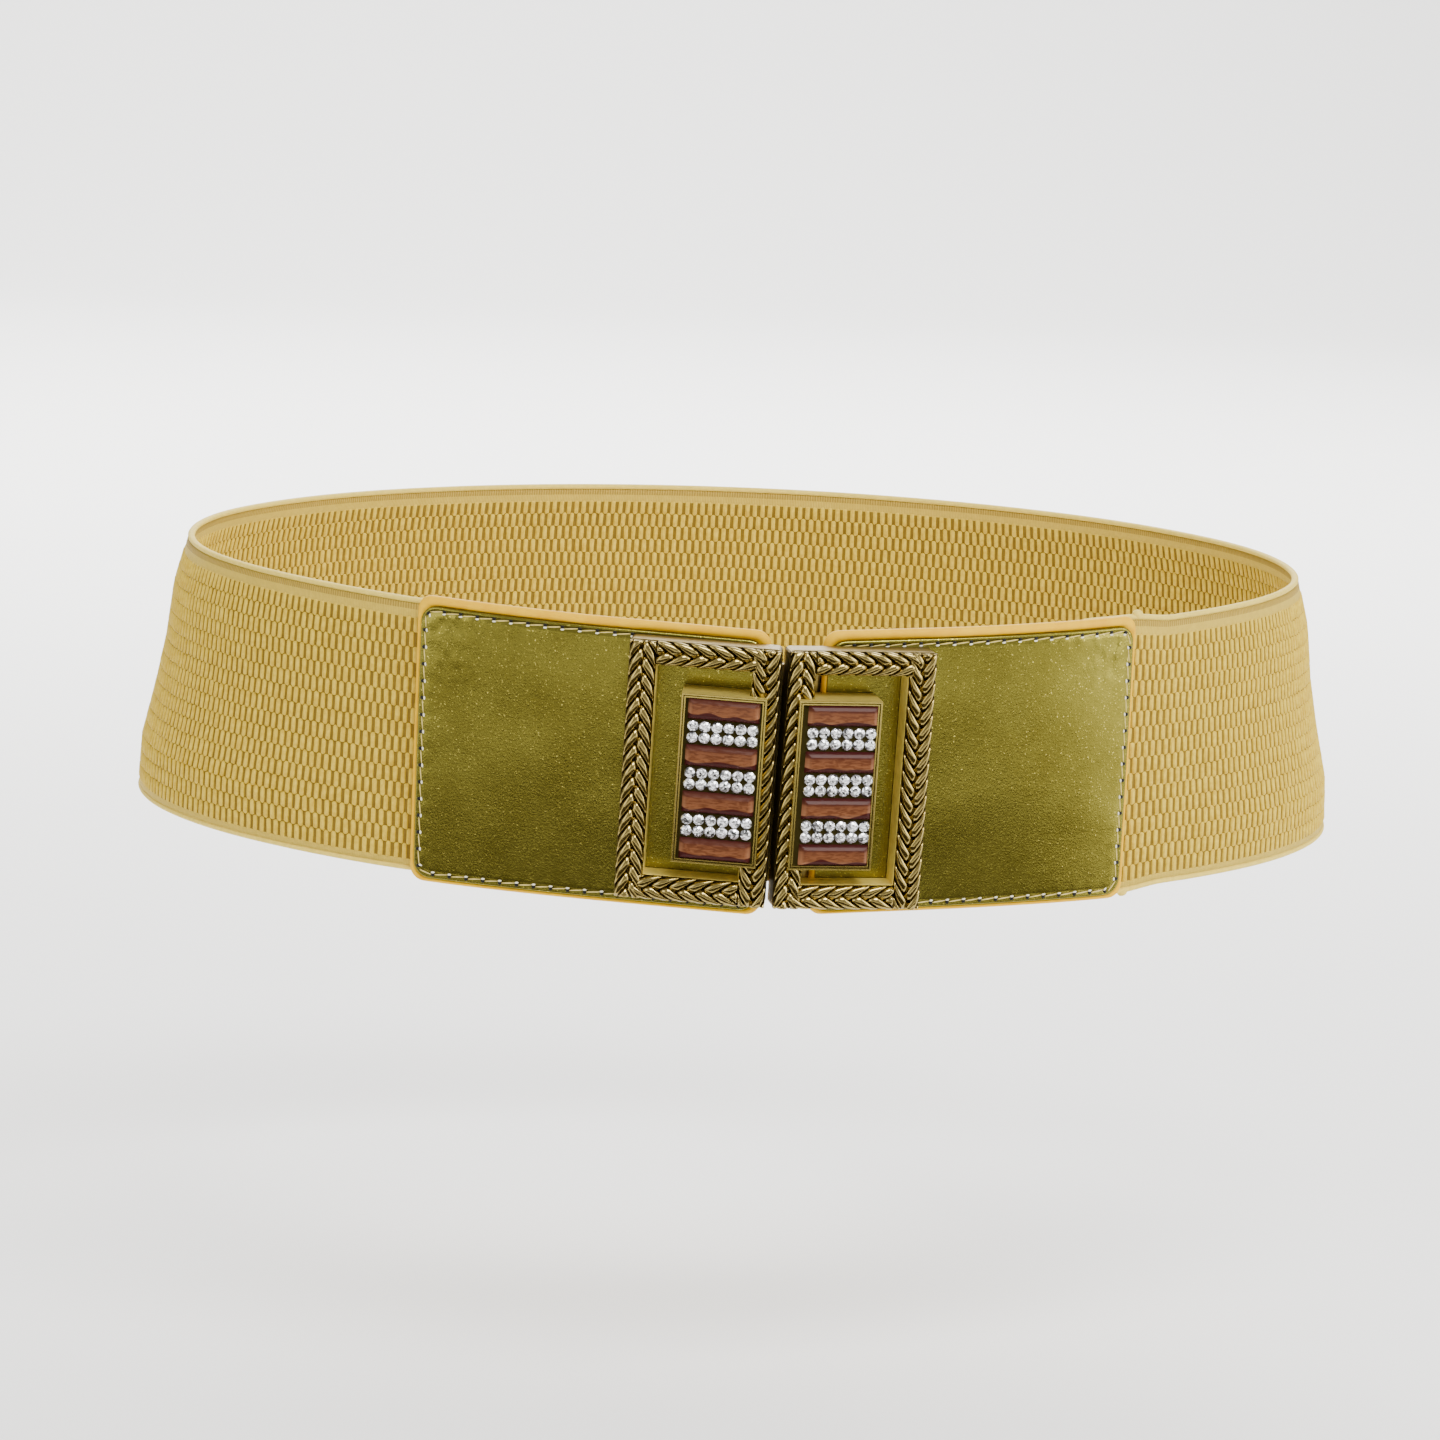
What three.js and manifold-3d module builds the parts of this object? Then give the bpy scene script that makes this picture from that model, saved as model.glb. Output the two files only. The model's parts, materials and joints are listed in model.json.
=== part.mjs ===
// Wide elastic stretch belt with a two-piece jewelled buckle, in the form it has when worn.
// Millimetres, +Z up. The buckle faces -Y, and the origin is at the middle of the loop.
import * as THREE from 'three';
import { mergeVertices } from 'three/addons/utils/BufferGeometryUtils.js';
import { ConvexGeometry } from 'three/addons/geometries/ConvexGeometry.js';
import Module from 'manifold-3d';

const wasm = await Module();
wasm.setup();

// Clearance between pieces that are sewn or set together, and how far a cut runs past a face
const FIT_GAP = 0.3;
const CUT_PAST = 0.5;

// Buckle halves
const FRAME_WIDTH = 40.5;
const FRAME_HEIGHT = 71;
const SEAM_GAP = 0.4;
const BUCKLE_TURN = 1;
const FRAME_CORNER = 1.4;
const SIDE_BAR = 7.5;
const END_BAR = 6.7;
const BAR_BASE = 5.6;
const COLLAR_WALL = 1.2;
const STRAND_RISE = 1.8;
const STRAND_PITCH = 4.4;
const STRAND_SLANT = 35;
const STRAND_STAGGER = 0.25;
const STRAND_REACH = 0.92;
const STRAND_GIRTH = 0.92;
const STRAND_FORM = [
  { along: 1, across: 0, height: -0.3 },
  { along: 0.5, across: 1, height: -0.3 },
  { along: 0.6, across: 0.35, height: 1 },
];
const END_RUN_ON = 2.6;

// Stone trays
const TRAY_WIDTH = 22.8;
const TRAY_HEIGHT = 46.4;
const TRAY_SHIFT = 6;
const TRAY_DROP = 0.7;
const TRAY_CORNER = 0.6;
const TRAY_PLATE = 2.9;
const TRAY_RIM = 0.8;
const TRAY_RIM_RISE = 0.7;

// Stones
const LEFT_FIELD_SHIFT = 0.1;
const RIGHT_FIELD_SHIFT = 0.9;
const ROSE_COUNT = 4;
const ROSE_LENGTH = 19.2;
const ROSE_WIDTH = 5.9;
const ROSE_DEPTH = 2.3;
const ROSE_SEAT = 1.1;
const ROSE_STEPS = [
  { inset: 0.12, height: 0 },
  { inset: 0, height: 0.17 },
  { inset: 0.1, height: 0.74 },
  { inset: 0.25, height: 1 },
];
const ROUND_DIAMETER = 2.9;
const ROUND_PITCH = 3.13;
const ROUND_ROWS = 2;
const ROUND_COLUMNS = 6;
const ROUND_CROWN = 0.95;
const ROUND_TABLE = 0.58;
const ROUND_GIRDLE = 0.05;
const ROUND_SUNK = 0.5;

// Leather end panels, measured outwards from the seam along the belt
const PANEL_HEIGHT = 78.5;
const PANEL_CORNER = 4;
const LEFT_PANEL_NEAR = 2;
const LEFT_PANEL_FAR = 98;
const RIGHT_PANEL_NEAR = 11;
const RIGHT_PANEL_FAR = 101.5;
const BACKING_THICKNESS = 1;
const FACE_THICKNESS = 2.4;
const WINDOW_SINK = 1.4;
const PAINTED_MARGIN = 1.3;
const FACE_DROP = 0.4;

// Woven elastic
const ELASTIC_HEIGHT = 75;
const ELASTIC_THICKNESS = 2;
const ELASTIC_TUCK = 15;

// Clasp hook behind the seam
const HOOK_HEIGHT = 60;
const HOOK_THICKNESS = 1.8;
const HOOK_REACH_LEFT = 14;
const HOOK_REACH_RIGHT = 24;
const HOOK_SIDE_GAP = 1.2;
const HOOK_BEND = 1;

// Worn form in plan: the straight run behind each buckle half, then arcs to the hip and the back
const SEAM_YAW = 8.5;
const HIP_RUN = 182;
const HIP_ARCS = [
  { run: 0.2, turn: 0.11 },
  { run: 0.2, turn: 0.16 },
  { run: 0.2, turn: 0.16 },
  { run: 0.2, turn: 0.24 },
  { run: 0.2, turn: 0.33 },
];
const BACK_ARCS = [
  { run: 0.25, turn: 0.4 },
  { run: 0.25, turn: 0.26 },
  { run: 0.25, turn: 0.18 },
  { run: 0.25, turn: 0.16 },
];

// Worn form in section: the wall leans out at its top in front and flares over the hips
const FRONT_LEAN = -3.5;
const HIP_FLARE = 10;
const BACK_FLARE = 8;
const FRONT_DIP = 10;
const EDGE_ROLL = 1.5;
const SWELL = [
  { height: -1, out: -0.9 },
  { height: -0.6, out: 0.35 },
  { height: -0.2, out: -0.2 },
  { height: 0.2, out: -0.35 },
  { height: 0.6, out: 0.25 },
  { height: 1, out: -0.6 },
];

const SWELL_RUN = 60;

// Fineness of the faceted solids
const LOOP_COLUMNS = 64;
const ELASTIC_ROWS = 5;
const PANEL_COLUMNS = 12;
const CORNER_STEPS = 3;
const ROUND_SIDES = 8;
const MERGE_DISTANCE = 1e-5;

// Layers of the front outwards from the elastic's outer surface
const BACKING_INNER = FIT_GAP;
const BACKING_OUTER = BACKING_INNER + BACKING_THICKNESS;
const FACE_INNER = BACKING_OUTER + FIT_GAP;
const FACE_OUTER = FACE_INNER + FACE_THICKNESS;
const FRAME_SEAT = FACE_OUTER + FIT_GAP;

// The leather is pressed in behind each frame's window, and the frame's inner wall stands in the hollow
const WINDOW_FLOOR = FACE_OUTER - WINDOW_SINK;
const COLLAR_DROP = FRAME_SEAT - WINDOW_FLOOR - FIT_GAP;
const OPENING_WIDTH = FRAME_WIDTH - 2 * SIDE_BAR;
const OPENING_HEIGHT = FRAME_HEIGHT - 2 * END_BAR;

const { degToRad, lerp, smoothstep } = THREE.MathUtils;

// The frames close to the seam gap at their foot, and the belt is straight behind them
const YAW = degToRad(SEAM_YAW);
const FRAME_START = (SEAM_GAP / 2 - FRAME_SEAT * Math.sin(YAW)) / Math.cos(YAW);
const FRAME_MIDDLE = FRAME_START + FRAME_WIDTH / 2;
const STRAIGHT_RUN = FRAME_START + FRAME_WIDTH;

// Turn of each half in its own plane that keeps the two seam edges side by side as they lean
const SEAM_SKEW = Math.asin(-Math.sin(degToRad(FRONT_LEAN)) * Math.sin(YAW));

// Plan path

function layArcs(start, rows) {
  const arcs = [];
  let { x, y, heading } = start;
  let from = start.from;
  for (const { length, turn } of rows) {
    arcs.push({ x, y, heading, from, length, turn });
    const end = alongArc(arcs.at(-1), length);
    x = end.x;
    y = end.y;
    heading = end.heading;
    from += length;
  }
  return { arcs, end: { x, y, heading, from } };
}

function alongArc(arc, distance) {
  const bend = arc.turn / arc.length;
  const heading = arc.heading + bend * distance;
  if (Math.abs(bend) < 1e-9) {
    return {
      x: arc.x + distance * Math.cos(heading),
      y: arc.y + distance * Math.sin(heading),
      heading,
    };
  }
  return {
    x: arc.x + (Math.sin(heading) - Math.sin(arc.heading)) / bend,
    y: arc.y - (Math.cos(heading) - Math.cos(arc.heading)) / bend,
    heading,
  };
}

function halfLoop() {
  const quarter = Math.PI / 2;
  const hipTurn = quarter - YAW;
  const front = layArcs({ x: 0, y: 0, heading: YAW, from: 0 }, [
    { length: STRAIGHT_RUN, turn: 0 },
    ...HIP_ARCS.map(({ run, turn }) => ({ length: HIP_RUN * run, turn: hipTurn * turn })),
  ]);
  const unitRows = BACK_ARCS.map(({ run, turn }) => ({ length: run, turn: quarter * turn }));
  const unit = layArcs({ x: 0, y: 0, heading: quarter, from: 0 }, unitRows);
  const backRun = -front.end.x / unit.end.x;
  const back = layArcs(
    front.end,
    unitRows.map(({ length, turn }) => ({ length: backRun * length, turn })),
  );
  return {
    arcs: [...front.arcs, ...back.arcs],
    hip: front.end.from,
    length: back.end.from,
    depth: back.end.y,
  };
}

const half = halfLoop();
const LOOP_LENGTH = 2 * half.length;

// Point of the belt at a distance from the seam (right of it positive), a height and a height out
function onBelt(along, height, out, swelling = 0) {
  const signed = along > half.length ? along - LOOP_LENGTH : along;
  const side = signed < 0 ? -1 : 1;
  const distance = Math.min(Math.abs(signed), half.length);
  const arc = half.arcs.findLast(({ from }) => distance >= from - 1e-9);
  const plan = alongArc(arc, distance - arc.from);
  const lean = leanAt(distance);
  const proud = out + swelling * swellAt(height);
  const outward = proud * Math.cos(lean) - height * Math.sin(lean);
  const rise = FRONT_DIP * (Math.sin((Math.PI / 2) * (distance / half.length)) - 0.5);
  return new THREE.Vector3(
    side * (plan.x + outward * Math.sin(plan.heading)),
    plan.y - half.depth / 2 - outward * Math.cos(plan.heading),
    rise + height * Math.cos(lean) + proud * Math.sin(lean),
  );
}

function leanAt(distance) {
  const toHip = smoothstep(distance, STRAIGHT_RUN, half.hip);
  const toBack = smoothstep(distance, half.hip, half.length);
  return degToRad(lerp(lerp(FRONT_LEAN, HIP_FLARE, toHip), BACK_FLARE, toBack));
}

function swellAt(height) {
  const share = THREE.MathUtils.clamp((2 * height) / ELASTIC_HEIGHT, -1, 1);
  const next = Math.max(1, SWELL.findIndex((row) => row.height >= share));
  const low = SWELL[next - 1];
  const high = SWELL[next];
  const between = (share - low.height) / (high.height - low.height);
  return EDGE_ROLL * lerp(low.out, high.out, between);
}

// Solids

function closedGeometry(geometry) {
  const bare = geometry.clone();
  bare.deleteAttribute('normal');
  bare.deleteAttribute('uv');
  return mergeVertices(bare, MERGE_DISTANCE);
}

function solidOf(geometry) {
  const bare = closedGeometry(geometry);
  return new wasm.Manifold(new wasm.Mesh({
    numProp: 3,
    vertProperties: new Float32Array(bare.attributes.position.array),
    triVerts: new Uint32Array(bare.index.array),
  }));
}

function geometryOf(solid) {
  const mesh = solid.getMesh();
  const geometry = new THREE.BufferGeometry();
  geometry.setAttribute('position', new THREE.BufferAttribute(mesh.vertProperties, 3));
  geometry.setIndex(new THREE.BufferAttribute(mesh.triVerts, 1));
  geometry.computeVertexNormals();
  return geometry;
}

function box(width, height, depth, x, y, z) {
  return new THREE.BoxGeometry(width, height, depth).translate(x, y, z + depth / 2);
}

function roundedRectangle(path, width, height, corner) {
  const x = width / 2;
  const y = height / 2;
  path.moveTo(-x + corner, -y);
  path.lineTo(x - corner, -y);
  path.absarc(x - corner, -y + corner, corner, -Math.PI / 2, 0, false);
  path.lineTo(x, y - corner);
  path.absarc(x - corner, y - corner, corner, 0, Math.PI / 2, false);
  path.lineTo(-x + corner, y);
  path.absarc(-x + corner, y - corner, corner, Math.PI / 2, Math.PI, false);
  path.lineTo(-x, -y + corner);
  path.absarc(-x + corner, -y + corner, corner, Math.PI, 1.5 * Math.PI, false);
  return path;
}

function plate(width, height, corner, depth) {
  const outline = roundedRectangle(new THREE.Shape(), width, height, corner);
  return new THREE.ExtrudeGeometry(outline, { depth, bevelEnabled: false, curveSegments: 2 });
}

// A slab bent onto the belt: columns run along it, and its corners are rounded
function beltSlab({ columns, halfHeightAt, rows, inner, outer, drop = 0, swellingAt = () => 0 }) {
  const geometry = new THREE.BoxGeometry(1, 1, 1, columns.length - 1, rows, 1);
  const position = geometry.attributes.position;
  for (let i = 0; i < position.count; i += 1) {
    const column = Math.round((position.getX(i) + 0.5) * (columns.length - 1));
    const along = columns[column];
    const height = 2 * position.getY(i) * halfHeightAt(along) - drop;
    const out = position.getZ(i) > 0 ? outer : inner;
    const point = onBelt(along, height, out, swellingAt(along));
    position.setXYZ(i, point.x, point.y, point.z);
  }
  const closed = closedGeometry(geometry);
  closed.computeVertexNormals();
  return closed;
}

// Columns of a panel: close together round its corners, even between them
function panelColumns(from, to, corner) {
  const columns = [];
  for (let step = 0; step < CORNER_STEPS; step += 1) {
    columns.push(from + corner * (1 - Math.cos((step / CORNER_STEPS) * (Math.PI / 2))));
  }
  for (let step = 0; step <= PANEL_COLUMNS; step += 1) {
    columns.push(lerp(from + corner, to - corner, step / PANEL_COLUMNS));
  }
  for (let step = CORNER_STEPS - 1; step >= 0; step -= 1) {
    columns.push(to - corner * (1 - Math.cos((step / CORNER_STEPS) * (Math.PI / 2))));
  }
  return columns;
}

function panelSlab({ near, far, margin, inner, outer, drop }) {
  const from = near + margin;
  const to = far - margin;
  const corner = PANEL_CORNER - margin / 2;
  const halfHeight = PANEL_HEIGHT / 2 - margin;
  const halfHeightAt = (along) => {
    const inset = Math.max(0, corner - Math.min(along - from, to - along));
    return halfHeight - corner + Math.sqrt(Math.max(0, corner ** 2 - inset ** 2));
  };
  return beltSlab({ columns: panelColumns(from, to, corner), halfHeightAt, rows: 2, inner, outer, drop });
}

function elasticBand() {
  const from = RIGHT_PANEL_FAR - ELASTIC_TUCK;
  const to = LOOP_LENGTH - LEFT_PANEL_FAR + ELASTIC_TUCK;
  const columns = [];
  for (let step = 0; step <= LOOP_COLUMNS; step += 1) {
    columns.push(lerp(from, to, step / LOOP_COLUMNS));
  }
  const swellingAt = (along) => {
    const pastRight = smoothstep(along, RIGHT_PANEL_FAR, RIGHT_PANEL_FAR + SWELL_RUN);
    const leftEdge = LOOP_LENGTH - LEFT_PANEL_FAR;
    return pastRight * (1 - smoothstep(along, leftEdge - SWELL_RUN, leftEdge));
  };
  return beltSlab({
    columns,
    halfHeightAt: () => ELASTIC_HEIGHT / 2,
    rows: ELASTIC_ROWS,
    inner: -ELASTIC_THICKNESS,
    outer: 0,
    swellingAt,
  });
}

// Buckle frame: a flat bar frame with an inner wall that stands in the leather's hollow, and two
// staggered rows of slanted strands raised on each bar, which run round it clockwise
function frameBars() {
  const bars = solidOf(plate(FRAME_WIDTH, FRAME_HEIGHT, FRAME_CORNER, BAR_BASE));
  const collar = box(
    OPENING_WIDTH + 2 * COLLAR_WALL,
    OPENING_HEIGHT + 2 * COLLAR_WALL,
    COLLAR_DROP + BAR_BASE / 2,
    0,
    0,
    -COLLAR_DROP,
  );
  const opening = box(
    OPENING_WIDTH,
    OPENING_HEIGHT,
    COLLAR_DROP + BAR_BASE + 2 * CUT_PAST,
    0,
    0,
    -COLLAR_DROP - CUT_PAST,
  );
  return bars.add(solidOf(collar)).subtract(solidOf(opening));
}

// Room for the frame's inner wall and for the window's floor in the leather
function windowHollow() {
  const clear = 2 * (COLLAR_WALL + FIT_GAP);
  const sink = WINDOW_SINK + FIT_GAP;
  return box(OPENING_WIDTH + clear, OPENING_HEIGHT + clear, sink + CUT_PAST, 0, 0, -sink);
}

// Strand: a long flat-topped leaf whose foot is sunk in the bar
function strandLeaf(reach, girth) {
  const points = [];
  for (const { along, across, height } of STRAND_FORM) {
    for (const end of [-1, 1]) {
      for (const edge of [-1, 1]) {
        points.push(new THREE.Vector3(end * along * reach, edge * across * girth, height * STRAND_RISE));
      }
    }
  }
  return new ConvexGeometry(points);
}

function barStrands(length, width) {
  const count = Math.round(length / STRAND_PITCH);
  const pitch = length / count;
  const slant = degToRad(STRAND_SLANT);
  const reach = (STRAND_REACH * width) / (4 * Math.sin(slant));
  const girth = (STRAND_GIRTH * pitch * Math.sin(slant)) / 2;
  const strands = [];
  for (let index = 0; index < count; index += 1) {
    for (const row of [-1, 1]) {
      const strand = strandLeaf(reach, girth);
      strand.rotateZ(Math.PI / 2 + row * slant);
      const place = (index + 0.5 - row * STRAND_STAGGER) * pitch - length / 2;
      strand.translate((row * width) / 4, place, BAR_BASE);
      strands.push(strand);
    }
  }
  return strands;
}

function buckleFrame(side) {
  const sideLength = FRAME_HEIGHT - 2 * FIT_GAP;
  const endLength = OPENING_WIDTH + END_RUN_ON;
  const bars = [
    { length: sideLength, width: SIDE_BAR, turn: 0, x: -(FRAME_WIDTH - SIDE_BAR) / 2, y: 0 },
    { length: endLength, width: END_BAR, turn: -90, x: END_RUN_ON / 2, y: (FRAME_HEIGHT - END_BAR) / 2 },
    { length: sideLength, width: SIDE_BAR, turn: 180, x: (FRAME_WIDTH - SIDE_BAR) / 2, y: 0 },
    { length: endLength, width: END_BAR, turn: 90, x: -END_RUN_ON / 2, y: -(FRAME_HEIGHT - END_BAR) / 2 },
  ];
  let solid = frameBars();
  for (const bar of bars) {
    for (const strand of barStrands(bar.length, bar.width)) {
      strand.rotateZ(degToRad(bar.turn)).translate(bar.x, bar.y, 0);
      solid = solid.add(solidOf(strand));
    }
  }
  const room = box(
    TRAY_WIDTH + 2 * FIT_GAP,
    TRAY_HEIGHT + 2 * FIT_GAP,
    TRAY_PLATE + STRAND_RISE,
    -side * TRAY_SHIFT,
    -TRAY_DROP,
    BAR_BASE,
  );
  const depth = COLLAR_DROP + BAR_BASE + STRAND_RISE;
  const envelope = box(FRAME_WIDTH, FRAME_HEIGHT, depth, 0, 0, -COLLAR_DROP);
  return geometryOf(solid.subtract(solidOf(room)).intersect(solidOf(envelope)));
}

// Stone tray: a box that stands in the window carries a rimmed plate, which laps over the frame's
// bar beside the seam. The plate has seats for the long stones, and round stones are set in bands.
const TRAY_BOTTOM = BAR_BASE + FIT_GAP;
const TRAY_FLOOR = TRAY_BOTTOM + TRAY_PLATE - TRAY_RIM_RISE;
const ROSE_BAY = (TRAY_HEIGHT - 2 * TRAY_RIM - (ROSE_COUNT - 1) * ROUND_ROWS * ROUND_PITCH) / ROSE_COUNT;
const BAY_STEP = ROSE_BAY + ROUND_ROWS * ROUND_PITCH;
const COLUMN_STEP = ROSE_LENGTH / ROUND_COLUMNS;

function roseHeightAt(index) {
  return ((ROSE_COUNT - 1) / 2 - index) * BAY_STEP;
}

// The stones stand right of the tray's middle, more so in the right half
function fieldShiftOn(side) {
  return side < 0 ? LEFT_FIELD_SHIFT : RIGHT_FIELD_SHIFT;
}

function roundStone() {
  const radius = ROUND_DIAMETER / 2;
  const profile = [
    new THREE.Vector2(0, -ROUND_SUNK),
    new THREE.Vector2(radius, -ROUND_SUNK),
    new THREE.Vector2(radius, ROUND_GIRDLE),
    new THREE.Vector2(radius * ROUND_TABLE, ROUND_CROWN),
    new THREE.Vector2(0, ROUND_CROWN),
  ];
  return new THREE.LatheGeometry(profile, ROUND_SIDES).rotateX(Math.PI / 2);
}

function stoneTray(side) {
  const seamSideBar = OPENING_WIDTH / 2 - TRAY_SHIFT - FIT_GAP;
  const footWidth = TRAY_WIDTH / 2 + seamSideBar;
  const footMiddle = side * (footWidth / 2 - seamSideBar);
  let solid = solidOf(plate(TRAY_WIDTH, TRAY_HEIGHT, TRAY_CORNER, TRAY_PLATE).translate(0, 0, TRAY_BOTTOM));
  const well = box(
    TRAY_WIDTH - 2 * TRAY_RIM,
    TRAY_HEIGHT - 2 * TRAY_RIM,
    TRAY_RIM_RISE + CUT_PAST,
    0,
    0,
    TRAY_FLOOR,
  );
  solid = solid.subtract(solidOf(well));
  const footDepth = COLLAR_DROP + TRAY_BOTTOM + CUT_PAST;
  const foot = box(footWidth, TRAY_HEIGHT, footDepth, footMiddle, 0, -COLLAR_DROP);
  solid = solid.add(solidOf(foot));
  for (let index = 0; index < ROSE_COUNT; index += 1) {
    const seat = box(
      ROSE_LENGTH + 2 * FIT_GAP,
      ROSE_WIDTH + 2 * FIT_GAP,
      ROSE_SEAT + CUT_PAST,
      fieldShiftOn(side),
      roseHeightAt(index),
      TRAY_FLOOR - ROSE_SEAT,
    );
    solid = solid.subtract(solidOf(seat));
  }
  for (let band = 0; band < ROSE_COUNT - 1; band += 1) {
    const middle = roseHeightAt(band) - BAY_STEP / 2;
    for (let row = 0; row < ROUND_ROWS; row += 1) {
      for (let column = 0; column < ROUND_COLUMNS; column += 1) {
        const x = fieldShiftOn(side) + (column - (ROUND_COLUMNS - 1) / 2) * COLUMN_STEP;
        const y = middle + ((ROUND_ROWS - 1) / 2 - row) * ROUND_PITCH;
        solid = solid.add(solidOf(roundStone().translate(x, y, TRAY_FLOOR)));
      }
    }
  }
  return geometryOf(solid);
}

// Long step-cut stone: girdle, two steps of facets and a flat table
function roseStone() {
  const points = [];
  for (const { inset, height } of ROSE_STEPS) {
    const x = ROSE_LENGTH / 2 - inset * ROSE_WIDTH;
    const y = ROSE_WIDTH / 2 - inset * ROSE_WIDTH;
    for (const [right, up] of [[-1, -1], [1, -1], [1, 1], [-1, 1]]) {
      points.push(new THREE.Vector3(right * x, up * y, height * ROSE_DEPTH));
    }
  }
  return new ConvexGeometry(points);
}

// Clasp hook: a plate behind both panels with a riser that fills the seam beside the right panel
function claspHook() {
  const back = beltSlab({
    columns: [-HOOK_REACH_LEFT, -HOOK_BEND, HOOK_BEND, HOOK_REACH_RIGHT],
    halfHeightAt: () => HOOK_HEIGHT / 2,
    rows: 1,
    inner: -HOOK_THICKNESS,
    outer: 0,
  });
  const riser = beltSlab({
    columns: [HOOK_SIDE_GAP, RIGHT_PANEL_NEAR - HOOK_SIDE_GAP],
    halfHeightAt: () => HOOK_HEIGHT / 2,
    rows: 1,
    inner: -HOOK_THICKNESS / 2,
    outer: WINDOW_FLOOR,
  });
  return geometryOf(solidOf(back).add(solidOf(riser)));
}

// Materials

function finish(color, roughness, metalness) {
  return new THREE.MeshStandardMaterial({ color, roughness, metalness });
}

const elasticFinish = finish(0xc8b26e, 0.6, 0.25);
const faceFinish = finish(0x8c8040, 0.4, 0.7);
const backingFinish = finish(0xd9b058, 0.55, 0);
const frameFinish = finish(0x9c8f68, 0.35, 1);
const trayFinish = finish(0xa89b72, 0.25, 1);
const roseFinish = finish(0xa0705a, 0.08, 0);
const hookFinish = finish(0x8f845f, 0.4, 1);

function piece(name, geometry, material) {
  const mesh = new THREE.Mesh(geometry, material.clone());
  mesh.name = name;
  return mesh;
}

// Assembly

// A half's place on the belt: both are turned a little clockwise about the middle of the seam
function buckleSeat(side) {
  const seat = new THREE.Group();
  seat.position.copy(onBelt(side * FRAME_MIDDLE, 0, FRAME_SEAT));
  seat.rotation.set(Math.PI / 2 - degToRad(FRONT_LEAN), 0, side * YAW, 'ZYX');
  const turn = side * SEAM_SKEW - degToRad(BUCKLE_TURN);
  const pivot = -side * FRAME_MIDDLE;
  const turned = new THREE.Group();
  turned.rotation.z = turn;
  turned.position.set(pivot * (1 - Math.cos(turn)), -pivot * Math.sin(turn), 0);
  seat.add(turned);
  seat.updateMatrixWorld(true);
  return { seat, turned };
}

function buckleHalf(sideName, side) {
  const { seat, turned } = buckleSeat(side);
  turned.add(piece(`frame_${sideName}`, buckleFrame(side), frameFinish));
  const setting = new THREE.Group();
  setting.position.set(-side * TRAY_SHIFT, -TRAY_DROP, 0);
  setting.add(piece(`tray_${sideName}`, stoneTray(side), trayFinish));
  for (let index = 0; index < ROSE_COUNT; index += 1) {
    const stone = piece(`rose_stone_${sideName}_${index + 1}`, roseStone(), roseFinish);
    stone.position.set(fieldShiftOn(side), roseHeightAt(index), TRAY_FLOOR - ROSE_SEAT + FIT_GAP);
    setting.add(stone);
  }
  turned.add(setting);
  return seat;
}

function endPanel(sideName, side, near, far) {
  const panel = new THREE.Group();
  const backing = panelSlab({
    near, far, margin: 0, inner: BACKING_INNER, outer: BACKING_OUTER, drop: 0,
  });
  const face = panelSlab({
    near, far, margin: PAINTED_MARGIN, inner: FACE_INNER, outer: FACE_OUTER, drop: FACE_DROP,
  });
  const hollow = windowHollow().applyMatrix4(buckleSeat(side).turned.matrixWorld);
  const pressed = geometryOf(solidOf(face).subtract(solidOf(hollow)));
  panel.add(piece(`panel_${sideName}_backing`, backing, backingFinish));
  panel.add(piece(`panel_${sideName}_face`, pressed, faceFinish));
  return panel;
}

const group = new THREE.Group();
group.add(piece('elastic_band', elasticBand(), elasticFinish));
group.add(endPanel('left', -1, -LEFT_PANEL_FAR, -LEFT_PANEL_NEAR));
group.add(endPanel('right', 1, RIGHT_PANEL_NEAR, RIGHT_PANEL_FAR));
group.add(buckleHalf('left', -1));
group.add(buckleHalf('right', 1));
group.add(piece('clasp_hook', claspHook(), hookFinish));

export default group;
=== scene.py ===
"""Wide gold elastic belt with a jewelled frame buckle: surfaces, sewing, stones and stage.

Lengths are in metres, +Z is up and the buckle faces -Y. Soft pieces are made flat, with X along the
belt, Y its height and Z outwards, and are then wrapped onto the worn form of the loop.
"""

import json
import math
from collections import namedtuple

import bmesh
import bpy
from bpy.props import FloatProperty, FloatVectorProperty, IntProperty, PointerProperty
from mathutils import Matrix, Vector, noise

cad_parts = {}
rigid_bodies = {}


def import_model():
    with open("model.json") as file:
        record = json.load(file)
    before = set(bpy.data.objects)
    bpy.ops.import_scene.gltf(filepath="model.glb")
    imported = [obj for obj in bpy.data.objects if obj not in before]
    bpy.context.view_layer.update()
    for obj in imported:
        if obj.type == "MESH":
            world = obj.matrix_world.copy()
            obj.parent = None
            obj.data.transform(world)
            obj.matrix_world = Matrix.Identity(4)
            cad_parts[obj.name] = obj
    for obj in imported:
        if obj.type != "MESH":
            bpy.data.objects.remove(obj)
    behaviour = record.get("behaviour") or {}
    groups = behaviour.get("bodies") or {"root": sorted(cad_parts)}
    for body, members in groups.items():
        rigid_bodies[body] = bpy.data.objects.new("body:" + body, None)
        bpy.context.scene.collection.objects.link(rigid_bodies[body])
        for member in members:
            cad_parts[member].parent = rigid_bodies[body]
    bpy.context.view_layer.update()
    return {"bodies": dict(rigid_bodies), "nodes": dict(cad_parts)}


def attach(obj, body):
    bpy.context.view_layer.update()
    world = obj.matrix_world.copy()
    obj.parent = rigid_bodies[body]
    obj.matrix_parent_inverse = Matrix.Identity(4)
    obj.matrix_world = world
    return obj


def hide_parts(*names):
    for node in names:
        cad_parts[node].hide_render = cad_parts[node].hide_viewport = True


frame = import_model()

bl_info = {
    "name": "Elastic Belt with Jewelled Buckle",
    "version": (1, 0, 0),
    "blender": (4, 5, 0),
    "location": "View3D > Sidebar > Belt",
    "description": "Makes the woven elastic, leather ends, braided frames, stone trays and stage",
    "category": "Object",
}

MM = 0.001

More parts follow.
